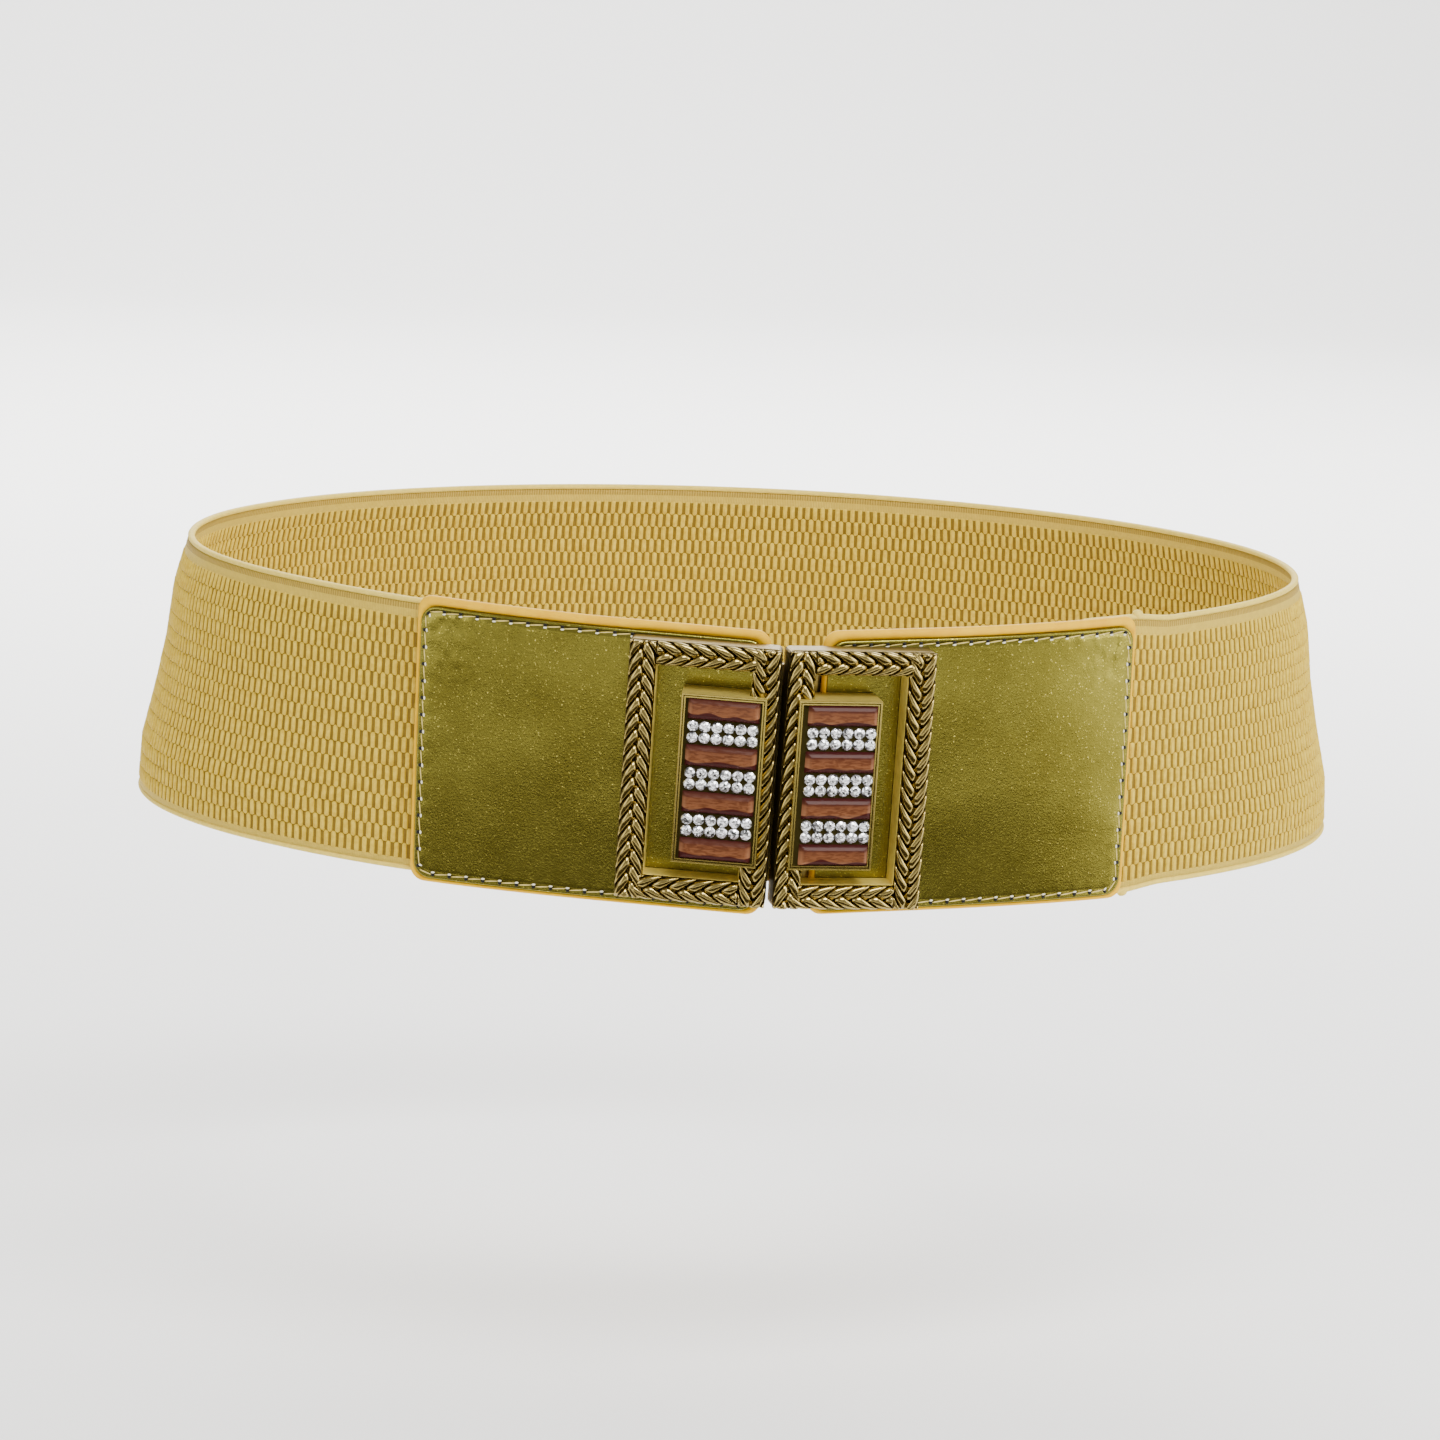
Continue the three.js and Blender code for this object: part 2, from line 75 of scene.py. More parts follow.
# Worn form in plan: a straight run behind each buckle half, then arcs to the hip and the back
SEAM_YAW = math.radians(8.5)
HIP_RUN = 182 * MM
HIP_TURNS = (0.11, 0.16, 0.16, 0.24, 0.33)
BACK_TURNS = (0.4, 0.26, 0.18, 0.16)

# Worn form in section
FRONT_LEAN = -3.5
HIP_FLARE = 10
BACK_FLARE = 8
FRONT_DIP = 10 * MM
EDGE_ROLL = 1.5 * MM
SWELL = ((-1, -0.9), (-0.6, 0.35), (-0.2, -0.2), (0.2, -0.35), (0.6, 0.25), (1, -0.6))
SWELL_RUN = 60 * MM

# Layers of the front, outwards from the elastic's outer surface
FIT_GAP = 0.3 * MM
BACKING_INNER = FIT_GAP
BACKING_OUTER = 1.3 * MM
FACE_INNER = 1.6 * MM
FACE_OUTER = 4.0 * MM
FRAME_SEAT = FACE_OUTER + FIT_GAP
WINDOW_FLOOR = 2.6 * MM
ELASTIC_MIDDLE = -1 * MM

# Width of a buckle frame in millimetres, which also sets the straight run behind it
FRAME_WIDTH = 40.5

# Seed of the uneven weave and of the round stones' tilt, which makes each run the same
UNEVEN_SEED = 1

# Places along the belt from the seam
SEAM_GAP = 0.4 * MM
LEFT_NEAR, LEFT_FAR = 2 * MM, 98 * MM
RIGHT_NEAR, RIGHT_FAR = 11 * MM, 101.5 * MM
TUCK = 15 * MM
BUCKLE_TURN = math.radians(1)

SIDES = (("left", -1), ("right", 1))

# Width in metres that one unit of the flat UV map covers
UV_UNIT = 10 * MM


def srgb(red, green, blue):
    """Linear colour of a colour given in 0 to 255 steps of screen brightness."""
    def linear(step):
        share = step / 255
        return share / 12.92 if share <= 0.04045 else ((share + 0.055) / 1.055) ** 2.4
    return (linear(red), linear(green), linear(blue))


def length_property(name, millimetres, description):
    return FloatProperty(name=name, description=description, default=millimetres * MM, unit="LENGTH")


def power_property(name, watts, description):
    return FloatProperty(name=name, description=description, default=watts, unit="POWER")


def colour_property(name, red, green, blue, description):
    return FloatVectorProperty(
        name=name, description=description, subtype="COLOR", size=3, min=0, max=1,
        default=srgb(red, green, blue))


class ElasticSettings(bpy.types.PropertyGroup):
    height: length_property("Height", 75, "Height of the woven elastic")
    relaxed_length: length_property("Relaxed Length", 630, "Length of the elastic before it is stretched")
    ground: length_property("Ground", 0.55, "Half thickness of the ground between the ribs")
    rib_pitch: length_property("Rib Pitch", 2.4, "Distance between ribs along the belt")
    rib_width: length_property("Rib Width", 1.64, "Width of one rib")
    rib_length: length_property("Rib Length", 4.4, "Height of one rib")
    rib_top: length_property("Rib Top", 1.08, "Height of a rib's crest over the middle of the elastic")
    top_selvedge: length_property("Top Selvedge", 5.8, "Plain border along the top")
    bottom_selvedge: length_property("Bottom Selvedge", 3.4, "Plain border along the bottom")
    bead: length_property("Bead", 1.5, "Width of the rolled bead on each edge")
    rib_colour: colour_property("Ribs", 210, 180, 54, "Colour of the ribs")
    rib_shade: colour_property("Rib Shade", 188, 154, 36, "Darker yarns in the ribs")
    ground_colour: colour_property("Ground", 122, 96, 16, "Colour between the ribs")
    selvedge_colour: colour_property("Selvedge", 200, 170, 58, "Colour of the plain borders")
    hatch_colour: colour_property("Hatching", 184, 152, 52, "Hatched strip under the upper bead")
    bead_colour: colour_property("Bead", 226, 198, 84, "Colour of the rolled edges")


class PanelSettings(bpy.types.PropertyGroup):
    height: length_property("Height", 78.5, "Height of the end panels over the painted edge")
    corner: length_property("Corner", 4, "Corner radius of the end panels")
    margin: length_property("Margin", 1.95, "Painted edge that shows over and under the leather")
    end_margin: length_property("End Margin", 1.5, "Painted edge that shows at the leather's ends")
    drop: length_property("Drop", 0.7, "How much lower the leather sits in its backing")
    crown: length_property("Crown", 0.5, "How far the leather falls back towards its upper and lower rims")
    mesh_step: length_property("Mesh Step", 0.8, "Spacing of the leather's mesh")
    rim_drop: length_property("Rim Drop", 0.5, "How far the leather rounds down at its rim")
    stitch_inset: length_property("Stitch Inset", 1.4, "Distance of the stitches from the leather's rim")
    stitch_pitch: length_property("Stitch Pitch", 4.6, "Distance between needle holes")
    thread: length_property("Thread", 0.2, "Radius of the thread")
    leather_colour: colour_property("Leather", 129, 121, 47, "Metallic leather")
    leather_shade: colour_property("Leather Shade", 110, 101, 34, "Darker foil of the leather")
    # Painted highlight: bright glints painted into the foil's colour at sparse spots
    glint_colour: colour_property("Leather Flecks", 240, 224, 110, "Bright flecks in the foil")
    edge_colour: colour_property("Painted Edge", 228, 180, 2, "Painted edge and lining")
    edge_shade: colour_property("Painted Edge Shade", 212, 156, 4, "Thinner paint")
    # Painted light and shade: one sewing thread, a lit copy where it turns up at a hole and a shaded copy
    # where it lies between holes
    lit_thread_colour: colour_property("Thread", 244, 236, 206, "Sewing thread where it turns up at a hole")
    shaded_laid_colour: colour_property("Laid Thread", 206, 184, 104, "Sewing thread between two holes")
    # Painted shade: near-black colour of the discs that stand for the shade inside the needle holes
    hole_shade_colour: colour_property("Needle Hole", 16, 13, 6, "Inside of a needle hole")


class FrameSettings(bpy.types.PropertyGroup):
    width: length_property("Width", FRAME_WIDTH, "Width of a buckle frame")
    height: length_property("Height", 71, "Height of a buckle frame")
    side_bar: length_property("Side Bar", 7.5, "Width of the upright bars")
    end_bar: length_property("End Bar", 6.7, "Width of the top and bottom bars")
    base: length_property("Base", 5.6, "Height of the flat bars")
    corner: length_property("Corner", 1.4, "Radius of the outer corners")
    collar: length_property("Inner Wall", 1.2, "Thickness of the inner wall")
    rise: length_property("Strand Rise", 1.8, "Height of the braid over the bars")
    pitch: length_property("Strand Pitch", 4.4, "Distance between strands along a bar")
    run_on: length_property("Run On", 2.6, "How far the top and bottom braids run into a corner")
    metal_colour: colour_property("Metal", 160, 141, 82, "Antique gold on the raised strands")
    # Painted light: the frames' gold painted lighter on the upright walls, as if lit
    lit_wall_colour: colour_property("Inner Walls", 252, 226, 112, "Satin gold of the upright walls")
    # Painted shade: near-black colour painted into the recesses between the strands and on the flat bars
    recess_shade_colour: colour_property("Recess", 52, 38, 16, "Darkened recesses between the strands")


class StoneSettings(bpy.types.PropertyGroup):
    tray_width: length_property("Tray Width", 22.8, "Width of a stone tray")
    tray_height: length_property("Tray Height", 46.4, "Height of a stone tray")
    tray_shift: length_property("Tray Shift", 6, "How far a tray stands towards the seam")
    tray_drop: length_property("Tray Drop", 0.7, "How far a tray stands below its frame's middle")
    plate: length_property("Plate", 2.9, "Thickness of the tray's plate")
    seat_rim: length_property("Seat Rim", 0.8, "Border that the stones' bays are measured from")
    rim: length_property("Rim", 1.1, "Width of the tray's rim")
    rim_rise: length_property("Rim Rise", 0.7, "Height of the rim over the tray's floor")
    left_field_shift: length_property("Left Field Shift", 0.1, "Stones right of the left tray's middle")
    right_field_shift: length_property("Right Field Shift", 0.9, "Stones right of the right tray's middle")
    rose_length: length_property("Rose Length", 19.2, "Length of a rose stone")
    rose_width: length_property("Rose Width", 5.9, "Width of a rose stone")
    rose_depth: length_property("Rose Depth", 2.3, "Depth of a rose stone")
    rose_seat: length_property("Rose Seat", 1.1, "Depth of the seat under a rose stone")
    rose_count: IntProperty(name="Rose Count", description="Rose stones in a tray", default=4, min=1)
    round_size: length_property("Round Size", 3.05, "Diameter of a round stone")
    round_pitch: length_property("Round Pitch", 3.13, "Distance between round stones")
    round_crown: length_property("Round Crown", 0.95, "Height of a round stone over the floor")
    rose_colour: colour_property("Rose", 113, 71, 45, "Rose glass")
    # Painted reflection: darker streaks that stand for reflections inside the glass
    rose_reflection_streak: colour_property("Rose Shade", 88, 52, 32, "Deeper streaks of the rose glass")
    # Painted light: the stone's ends are painted lighter
    rose_end_light: colour_property("Rose Light", 144, 98, 68, "Lighter glass at a rose stone's ends")
    rose_dark: colour_property("Rose Dark", 52, 20, 18, "Dark reflection along a rose stone's lower edge")
    tray_colour: colour_property("Tray", 180, 160, 84, "Polished gold of the tray")


class StageSettings(bpy.types.PropertyGroup):
    floor_level: length_property("Floor Level", -190, "Height of the floor under the belt")
    focal_length: FloatProperty(
        name="Focal Length", description="Lens, in millimetres on a 36 mm sensor", default=128.36)
    key_power: power_property("Key Light", 44, "Power of the overhead softbox")
    fill_power: power_property("Fill Light", 14, "Power of the softbox behind; those at the sides follow it")
    floor_power: power_property("Floor Light", 150, "Power of the softbox over the backdrop")
    card_colour: colour_property("Dark Card", 60, 52, 34, "Card that the metal reflects")
    floor_colour: colour_property("Floor", 246, 245, 243, "Floor and backdrop")
    sky_strength: FloatProperty(name="Sky", description="Strength of the surrounding light", default=0.6)


# Plan path of the loop

Arc = namedtuple("Arc", "x y heading start length turn")
HalfLoop = namedtuple("HalfLoop", "arcs straight hip length depth")
FLAT_BEND = 1e-9


def along_arc(arc, distance):
    """X, Y and heading at a distance along an arc."""
    bend = arc.turn / arc.length
    heading = arc.heading + bend * distance
    if abs(bend) < FLAT_BEND:
        return arc.x + distance * math.cos(heading), arc.y + distance * math.sin(heading), heading
    x = arc.x + (math.sin(heading) - math.sin(arc.heading)) / bend
    y = arc.y - (math.cos(heading) - math.cos(arc.heading)) / bend
    return x, y, heading


def lay_arcs(x, y, heading, start, rows):
    """Arcs laid end to end from rows of length and turn, and where the last one ends."""
    arcs = []
    for length, turn in rows:
        arcs.append(Arc(x, y, heading, start, length, turn))
        x, y, heading = along_arc(arcs[-1], length)
        start += length
    return arcs, (x, y, heading, start)


def half_loop(frame_width):
    """Right half of the loop, from the seam to the middle of the back."""
    quarter = math.pi / 2
    seam_start = (SEAM_GAP / 2 - FRAME_SEAT * math.sin(SEAM_YAW)) / math.cos(SEAM_YAW)
    straight = seam_start + frame_width
    hip_rows = [(HIP_RUN / len(HIP_TURNS), (quarter - SEAM_YAW) * turn) for turn in HIP_TURNS]
    front, hip = lay_arcs(0, 0, SEAM_YAW, 0, [(straight, 0)] + hip_rows)
    unit_rows = [(1 / len(BACK_TURNS), quarter * turn) for turn in BACK_TURNS]
    unit_end = lay_arcs(0, 0, quarter, 0, unit_rows)[1]
    back_run = -hip[0] / unit_end[0]
    back, end = lay_arcs(*hip, [(length * back_run, turn) for length, turn in unit_rows])
    return HalfLoop(front + back, straight, hip[3], end[3], end[1])


HALF = half_loop(FRAME_WIDTH * MM)
LOOP_LENGTH = 2 * HALF.length
FRAME_MIDDLE = HALF.straight - FRAME_WIDTH * MM / 2


def smoothstep(value, low, high):
    share = min(max((value - low) / (high - low), 0), 1)
    return share * share * (3 - 2 * share)


def lerp(low, high, share):
    return low + (high - low) * share


def lean_at(distance):
    """Angle by which the belt leans outwards at its top, at a distance from the seam."""
    to_hip = smoothstep(distance, HALF.straight, HALF.hip)
    to_back = smoothstep(distance, HALF.hip, HALF.length)
    return math.radians(lerp(lerp(FRONT_LEAN, HIP_FLARE, to_hip), BACK_FLARE, to_back))


def on_belt(along, height, out):
    """Point of the belt at a distance from the seam, a height and a distance outwards."""
    signed = along - LOOP_LENGTH if along > HALF.length else along
    side = -1 if signed < 0 else 1
    distance = min(abs(signed), HALF.length)
    arc = next(arc for arc in reversed(HALF.arcs) if distance >= arc.start - FLAT_BEND)
    x, y, heading = along_arc(arc, distance - arc.start)
    lean = lean_at(distance)
    outward = out * math.cos(lean) - height * math.sin(lean)
    rise = FRONT_DIP * (math.sin(math.pi / 2 * distance / HALF.length) - 0.5)
    return Vector((
        side * (x + outward * math.sin(heading)),
        y - HALF.depth / 2 - outward * math.cos(heading),
        rise + height * math.cos(lean) + out * math.sin(lean)))


def swell_at(height, elastic_height):
    """How far the elastic swells outwards at a height."""
    share = min(max(2 * height / elastic_height, -1), 1)
    for (low, low_out), (high, high_out) in zip(SWELL, SWELL[1:]):
        if share <= high:
            return EDGE_ROLL * lerp(low_out, high_out, (share - low) / (high - low))
    return EDGE_ROLL * SWELL[-1][1]


def buckle_seat(side):
    """Place of a buckle half: X to the right, Y up and Z outwards from the leather."""
    lean = math.radians(FRONT_LEAN)
    place = Matrix.Translation(on_belt(side * FRAME_MIDDLE, 0, FRAME_SEAT))
    place @= Matrix.Rotation(side * SEAM_YAW, 4, "Z") @ Matrix.Rotation(math.pi / 2 - lean, 4, "X")
    turn = side * math.asin(-math.sin(lean) * math.sin(SEAM_YAW)) - BUCKLE_TURN
    pivot = Vector((-side * FRAME_MIDDLE, 0, 0))
    return place @ Matrix.Translation(pivot) @ Matrix.Rotation(turn, 4, "Z") @ Matrix.Translation(-pivot)


def tray_seat(side, stones):
    """Place of a stone tray, whose middle is the origin."""
    return buckle_seat(side) @ Matrix.Translation((-side * stones.tray_shift, -stones.tray_drop, 0))


# Mesh helpers

# Distances under which two places are one: on a finished piece, and on a small stamped form
SAME_PLACE = 1e-6
SAME_CORNER = 1e-7


def only(kind, geometry):
    return [item for item in geometry if isinstance(item, kind)]


def mesh_from(name, bm):
    mesh = bpy.data.meshes.new(name)
    bm.to_mesh(mesh)
    bm.free()
    return mesh


def add_object(name, data):
    item = bpy.data.objects.new(name, data)
    bpy.context.scene.collection.objects.link(item)
    return item


def add_mesh(name, bm, *materials):
    item = add_object(name, mesh_from(name, bm))
    for material in materials:
        item.data.materials.append(material)
    return item


def add_piece(name, bm, materials, replaced=None):
    """Finished piece of the belt with its materials, in place of a CAD node if one is named."""
    piece = add_mesh(name, bm, *materials)
    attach(piece, "root")
    if replaced:
        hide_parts(replaced)
    return piece


def smooth(bm):
    for face in bm.faces:
        face.smooth = True


def close_tubes(bm):
    """Merges the seams of rolled grids and caps their ends."""
    bmesh.ops.remove_doubles(bm, verts=bm.verts, dist=SAME_CORNER)
    bmesh.ops.holes_fill(bm, edges=bm.edges, sides=0)
    bmesh.ops.recalc_face_normals(bm, faces=bm.faces)


def unit_grid(bm, columns, rows):
    return bmesh.ops.create_grid(bm, x_segments=columns - 1, y_segments=rows - 1, size=1)["verts"]


def lay_out(verts, columns, rows, place):
    """Moves the vertices of a grid that spans -1 to 1 to where place(column, row) says."""
    for vert in verts:
        column = round((vert.co.x + 1) / 2 * (columns - 1))
        row = round((vert.co.y + 1) / 2 * (rows - 1))
        vert.co = place(column, row)


def rolled_grid(bm, columns, rows, place):
    """Grid laid out by place(column, row), whose ends may meet and are merged later."""
    lay_out(unit_grid(bm, columns, rows), columns, rows, place)


def closed_slab(columns, rows, lower, upper):
    """Closed sheet between lower(column, row) and upper(column, row)."""
    bm = bmesh.new()
    bottom = unit_grid(bm, columns, rows)
    grown = bmesh.ops.extrude_face_region(bm, geom=bm.faces[:], use_keep_orig=True)["geom"]
    lay_out(bottom, columns, rows, lower)
    lay_out(only(bmesh.types.BMVert, grown), columns, rows, upper)
    bmesh.ops.remove_doubles(bm, verts=bm.verts, dist=SAME_PLACE)
    bmesh.ops.recalc_face_normals(bm, faces=bm.faces)
    smooth(bm)
    return bm


def wrap(bm, place=on_belt):
    """Bends the flat layout onto the belt, and keeps it as a UV map: U along the belt, V its height."""
    layer = bm.loops.layers.uv.new("flat")
    for face in bm.faces:
        for loop in face.loops:
            loop[layer].uv = (loop.vert.co.x / UV_UNIT, loop.vert.co.y / UV_UNIT)
    for vert in bm.verts:
        vert.co = place(*vert.co)


def stamp(bm, template, place, material=None):
    """Adds a copy of a small mesh to bm, which holds nothing but stamped meshes."""
    first_vert = len(bm.verts)
    first_face = len(bm.faces)
    bm.from_mesh(template)
    bm.verts.ensure_lookup_table()
    bm.faces.ensure_lookup_table()
    bmesh.ops.transform(bm, matrix=place, verts=bm.verts[first_vert:])
    if material is not None:
        for face in bm.faces[first_face:]:
            face.material_index = material


def extrude_faces(bm, faces, offset, keep=False):
    """Extrudes faces by an offset along Z; returns the faces at its end."""
    grown = bmesh.ops.extrude_face_region(bm, geom=faces, use_keep_orig=True)["geom"]
    bmesh.ops.translate(bm, verts=only(bmesh.types.BMVert, grown), vec=(0, 0, offset))
    if not keep:
        bmesh.ops.delete(bm, geom=faces, context="FACES")
    return only(bmesh.types.BMFace, grown)


def bevel_edges(bm, edges, width, segments):
    bmesh.ops.bevel(bm, geom=edges, offset=width, offset_type="OFFSET", segments=segments, profile=0.5,
                    affect="EDGES", material=-1, clamp_overlap=True)


def at_level(verts, level):
    return all(abs(vert.co.z - level) < SAME_PLACE for vert in verts)


def size_face(face, width, height):
    """Gives a rectangular face round the origin a width and a height."""
    for vert in face.verts:
        vert.co.x = math.copysign(width / 2, vert.co.x)
        vert.co.y = math.copysign(height / 2, vert.co.y)


def spread(length, edge_run, edge_steps, step):
    """Positions from 0 to length: cosine spaced over edge_run at both ends, even between."""
    edge = [edge_run * (1 - math.cos(i / edge_steps * math.pi / 2)) for i in range(edge_steps)]
    count = max(1, round((length - 2 * edge_run) / step))
    middle = [lerp(edge_run, length - edge_run, i / count) for i in range(count + 1)]
    return edge + middle + [length - place for place in reversed(edge)]


def inside_rounded(x, y, width, height, corner):
    """Distance inward from the outline of a rounded rectangle round the origin."""
    over_x = abs(x) - (width / 2 - corner)
    over_y = abs(y) - (height / 2 - corner)
    outside = math.hypot(max(over_x, 0), max(over_y, 0))
    return corner - outside - min(max(over_x, over_y), 0)


class PanelOutline:
    """Rounded outline of a panel in the flat layout, with the lines of its mesh."""

    CORNER_STEPS = 6
    EDGE_RUN = 3 * MM
    EDGE_STEPS = 9
    LEAST_CORNER = 0.5 * MM

    def __init__(self, near, far, height, corner, drop, step):
        self.start = near
        self.width = far - near
        self.height = height
        self.corner = corner
        self.drop = drop
        self.xs = spread(self.width, corner, self.CORNER_STEPS, step)
        self.ys = spread(height, self.EDGE_RUN, self.EDGE_STEPS, step)

    def slab(self, lower, upper):
        return closed_slab(len(self.xs), len(self.ys), lower, upper)

    def inside(self, x, y):
        """Distance inward from the outline."""
        return inside_rounded(
            x - self.start - self.width / 2, y + self.drop, self.width, self.height, self.corner)

    def flat(self, column, row):
        x = self.xs[column]
        inset = max(0, self.corner - min(x, self.width - x))
        half = self.height / 2 - self.corner + math.sqrt(max(0, self.corner ** 2 - inset ** 2))
        y = (self.ys[row] / self.height * 2 - 1) * half
        return self.start + x, y - self.drop

    def loop_sides(self, inset):
        """Corner radius and half sides of a loop inside the outline, and the lengths of its eight runs."""
        corner = max(self.corner - inset, self.LEAST_CORNER)
        half_width = self.width / 2 - inset
        half_height = self.height / 2 - inset
        bend = math.pi / 2 * corner
        half_runs = [2 * (half_height - corner), bend, 2 * (half_width - corner), bend]
        return corner, half_width, half_height, 2 * half_runs

    def loop_length(self, inset):
        return sum(self.loop_sides(inset)[3])

    def loop_point(self, share, inset):
        """Point at a share of the way round the loop, anticlockwise, and the angle that faces outwards."""
        corner, half_width, half_height, runs = self.loop_sides(inset)
        left = share % 1 * sum(runs)
        index = 0
        while left > runs[index] and index < len(runs) - 1:
            left -= runs[index]
            index += 1
        quarter, bent = divmod(index, 2)
        across, along = (half_height, half_width) if quarter % 2 else (half_width, half_height)
        bend = left / corner if bent else 0
        local = Vector((across, left - (along - corner), 0))
        if bent:
            local = Vector((across - corner, along - corner, 0))
            local += corner * Vector((math.cos(bend), math.sin(bend), 0))
        turn = quarter * math.pi / 2
        middle = Vector((self.start + self.width / 2, -self.drop, 0))
        return Matrix.Rotation(turn, 3, "Z") @ local + middle, turn + bend


# Material helpers

FLOAT = "NodeSocketFloat"
COLOUR = "NodeSocketColor"
VECTOR = "NodeSocketVector"


def opaque(colour):
    return (*colour, 1)


def darker(colour, share):
    return [part * share for part in colour]


def feed(tree, socket, value):
    """Gives an input its value, or links it to the output that feeds it."""
    if isinstance(value, bpy.types.NodeSocket):
        tree.links.new(value, socket)
    else:
        socket.default_value = value


def node(tree, kind, inputs=None, **settings):
    made = tree.nodes.new(kind)
    for name, value in settings.items():
        setattr(made, name, value)
    for name, value in (inputs or {}).items():
        feed(tree, made.inputs[name], value)
    return made


def maths(tree, operation, first, second):
    return node(tree, "ShaderNodeMath", {0: first, 1: second}, operation=operation).outputs[0]


def range_of(tree, value, low, high, start=0, stop=1, soft=False):
    """Maps a value between start and stop onto low to high."""
    made = node(
        tree, "ShaderNodeMapRange",
        {"Value": value, "From Min": start, "From Max": stop, "To Min": low, "To Max": high},
        interpolation_type="SMOOTHSTEP" if soft else "LINEAR")
    return made.outputs["Result"]


def blend(tree, share, first, second):
    made = node(tree, "ShaderNodeMix", {"Factor": share, "A": first, "B": second}, data_type="RGBA")
    return made.outputs["Result"]


def ramp(tree, value, stops):
    """Colour ramp through stops, each a position and a colour."""
    made = node(tree, "ShaderNodeValToRGB", {"Fac": value})
    elements = made.color_ramp.elements
    elements.remove(elements[-1])
    elements[0].position = stops[0][0]
    elements[0].color = opaque(stops[0][1])
    for position, colour in stops[1:]:
        elements.new(position).color = opaque(colour)
    return made.outputs["Color"]


def new_group(name, inputs, outputs):
    """Empty node group; returns it with the sockets that come in and those that go out."""
    tree = bpy.data.node_groups.new(name, "ShaderNodeTree")
    for socket, kind, value in inputs:
        made = tree.interface.new_socket(name=socket, in_out="INPUT", socket_type=kind)
        if value is not None:
            made.default_value = value
    for socket, kind in outputs:
        tree.interface.new_socket(name=socket, in_out="OUTPUT", socket_type=kind)
    return tree, node(tree, "NodeGroupInput").outputs, node(tree, "NodeGroupOutput").inputs


def mottle_group():
    """Two colours mixed by soft noise, with the mix as a mask."""
    tree, source, result = new_group(
        "Mottle",
        [("Vector", VECTOR, None), ("Scale", FLOAT, 100.0), ("Contrast", FLOAT, 0.3),
         ("Light", COLOUR, (1, 1, 1, 1)), ("Dark", COLOUR, (0, 0, 0, 1))],
        [("Color", COLOUR), ("Mask", FLOAT)])
    cloud = node(tree, "ShaderNodeTexNoise",
                 {"Vector": source["Vector"], "Scale": source["Scale"], "Detail": 4.0, "Roughness": 0.6})
    low = maths(tree, "SUBTRACT", 0.5, source["Contrast"])
    high = maths(tree, "ADD", 0.5, source["Contrast"])
    mask = range_of(tree, cloud.outputs["Fac"], 0, 1, low, high, soft=True)
    feed(tree, result["Color"], blend(tree, mask, source["Dark"], source["Light"]))
    feed(tree, result["Mask"], mask)
    return tree


def crinkle_group():
    """Fine crinkles: creases between small cells over a finer pebble grain, and a mask of sparse spots where
    glints are painted.
    """
    tree, source, result = new_group(
        "Crinkle",
        [("Vector", VECTOR, None), ("Scale", FLOAT, 900.0), ("Grain", FLOAT, 0.4)],
        [("Height", FLOAT), ("Glint", FLOAT)])
    warp = node(tree, "ShaderNodeTexNoise", {"Vector": source["Vector"], "Scale": 260.0, "Detail": 2.0})
    bent = node(tree, "ShaderNodeMix", {"Factor": 0.002, "A": source["Vector"], "B": warp.outputs["Color"]},
                data_type="VECTOR")
    cells = node(tree, "ShaderNodeTexVoronoi", {"Vector": bent.outputs["Result"], "Scale": source["Scale"]},
                 feature="DISTANCE_TO_EDGE")
    crease = range_of(tree, cells.outputs["Distance"], 0, 0.25, 0, 0.3, soft=True)
    finer = maths(tree, "MULTIPLY", source["Scale"], 2.3)
    pebble = node(tree, "ShaderNodeTexNoise", {"Vector": source["Vector"], "Scale": finer, "Detail": 3.0})
    grain = maths(tree, "MULTIPLY", pebble.outputs["Fac"], source["Grain"])
    feed(tree, result["Height"], maths(tree, "ADD", crease, grain))
    feed(tree, result["Glint"], range_of(tree, pebble.outputs["Fac"], 0, 1, 0.62, 0.74, soft=True))
    return tree


def yarn_group():
    """Height of fine yarns across a flat UV map."""
    tree, source, result = new_group(
        "Yarns", [("Vector", VECTOR, None), ("Scale", FLOAT, 12.0)], [("Height", FLOAT)])
    wave = node(tree, "ShaderNodeTexWave",
                {"Vector": source["Vector"], "Scale": source["Scale"], "Distortion": 0.6, "Detail": 1.0},
                wave_type="BANDS", bands_direction="X", wave_profile="SIN")
    feed(tree, result["Height"], wave.outputs["Fac"])
    return tree


GROUPS = {}


def use_group(tree, maker, vector, **values):
    """Places a node group, which is made when it is first used, and gives its outputs."""
    if maker not in GROUPS:
        GROUPS[maker] = maker()
    inputs = {key.title(): value for key, value in values.items()}
    return node(tree, "ShaderNodeGroup", {"Vector": vector, **inputs}, node_tree=GROUPS[maker]).outputs


def object_coordinates(tree):
    return node(tree, "ShaderNodeTexCoord").outputs["Object"]


def uv_coordinates(tree, name):
    return node(tree, "ShaderNodeUVMap", uv_map=name).outputs["UV"]


def attribute(tree, name):
    return node(tree, "ShaderNodeAttribute", attribute_name=name).outputs["Fac"]


def mottle(tree, light, dark, scale, contrast):
    return use_group(tree, mottle_group, object_coordinates(tree), scale=scale, contrast=contrast,
                     light=opaque(light), dark=opaque(dark))


def crinkle(tree, scale, grain):
    return use_group(tree, crinkle_group, object_coordinates(tree), scale=scale, grain=grain)


def new_material(name, **values):
    """Material with its Principled shader; values are set on the shader's own sockets."""
    material = bpy.data.materials.new(name)
    material.use_nodes = True
    tree = material.node_tree
    shader = next(item for item in tree.nodes if item.type == "BSDF_PRINCIPLED")
    for key, value in values.items():
        shader.inputs[key.replace("_", " ").title().replace("Ior", "IOR")].default_value = value
    return material, tree, shader


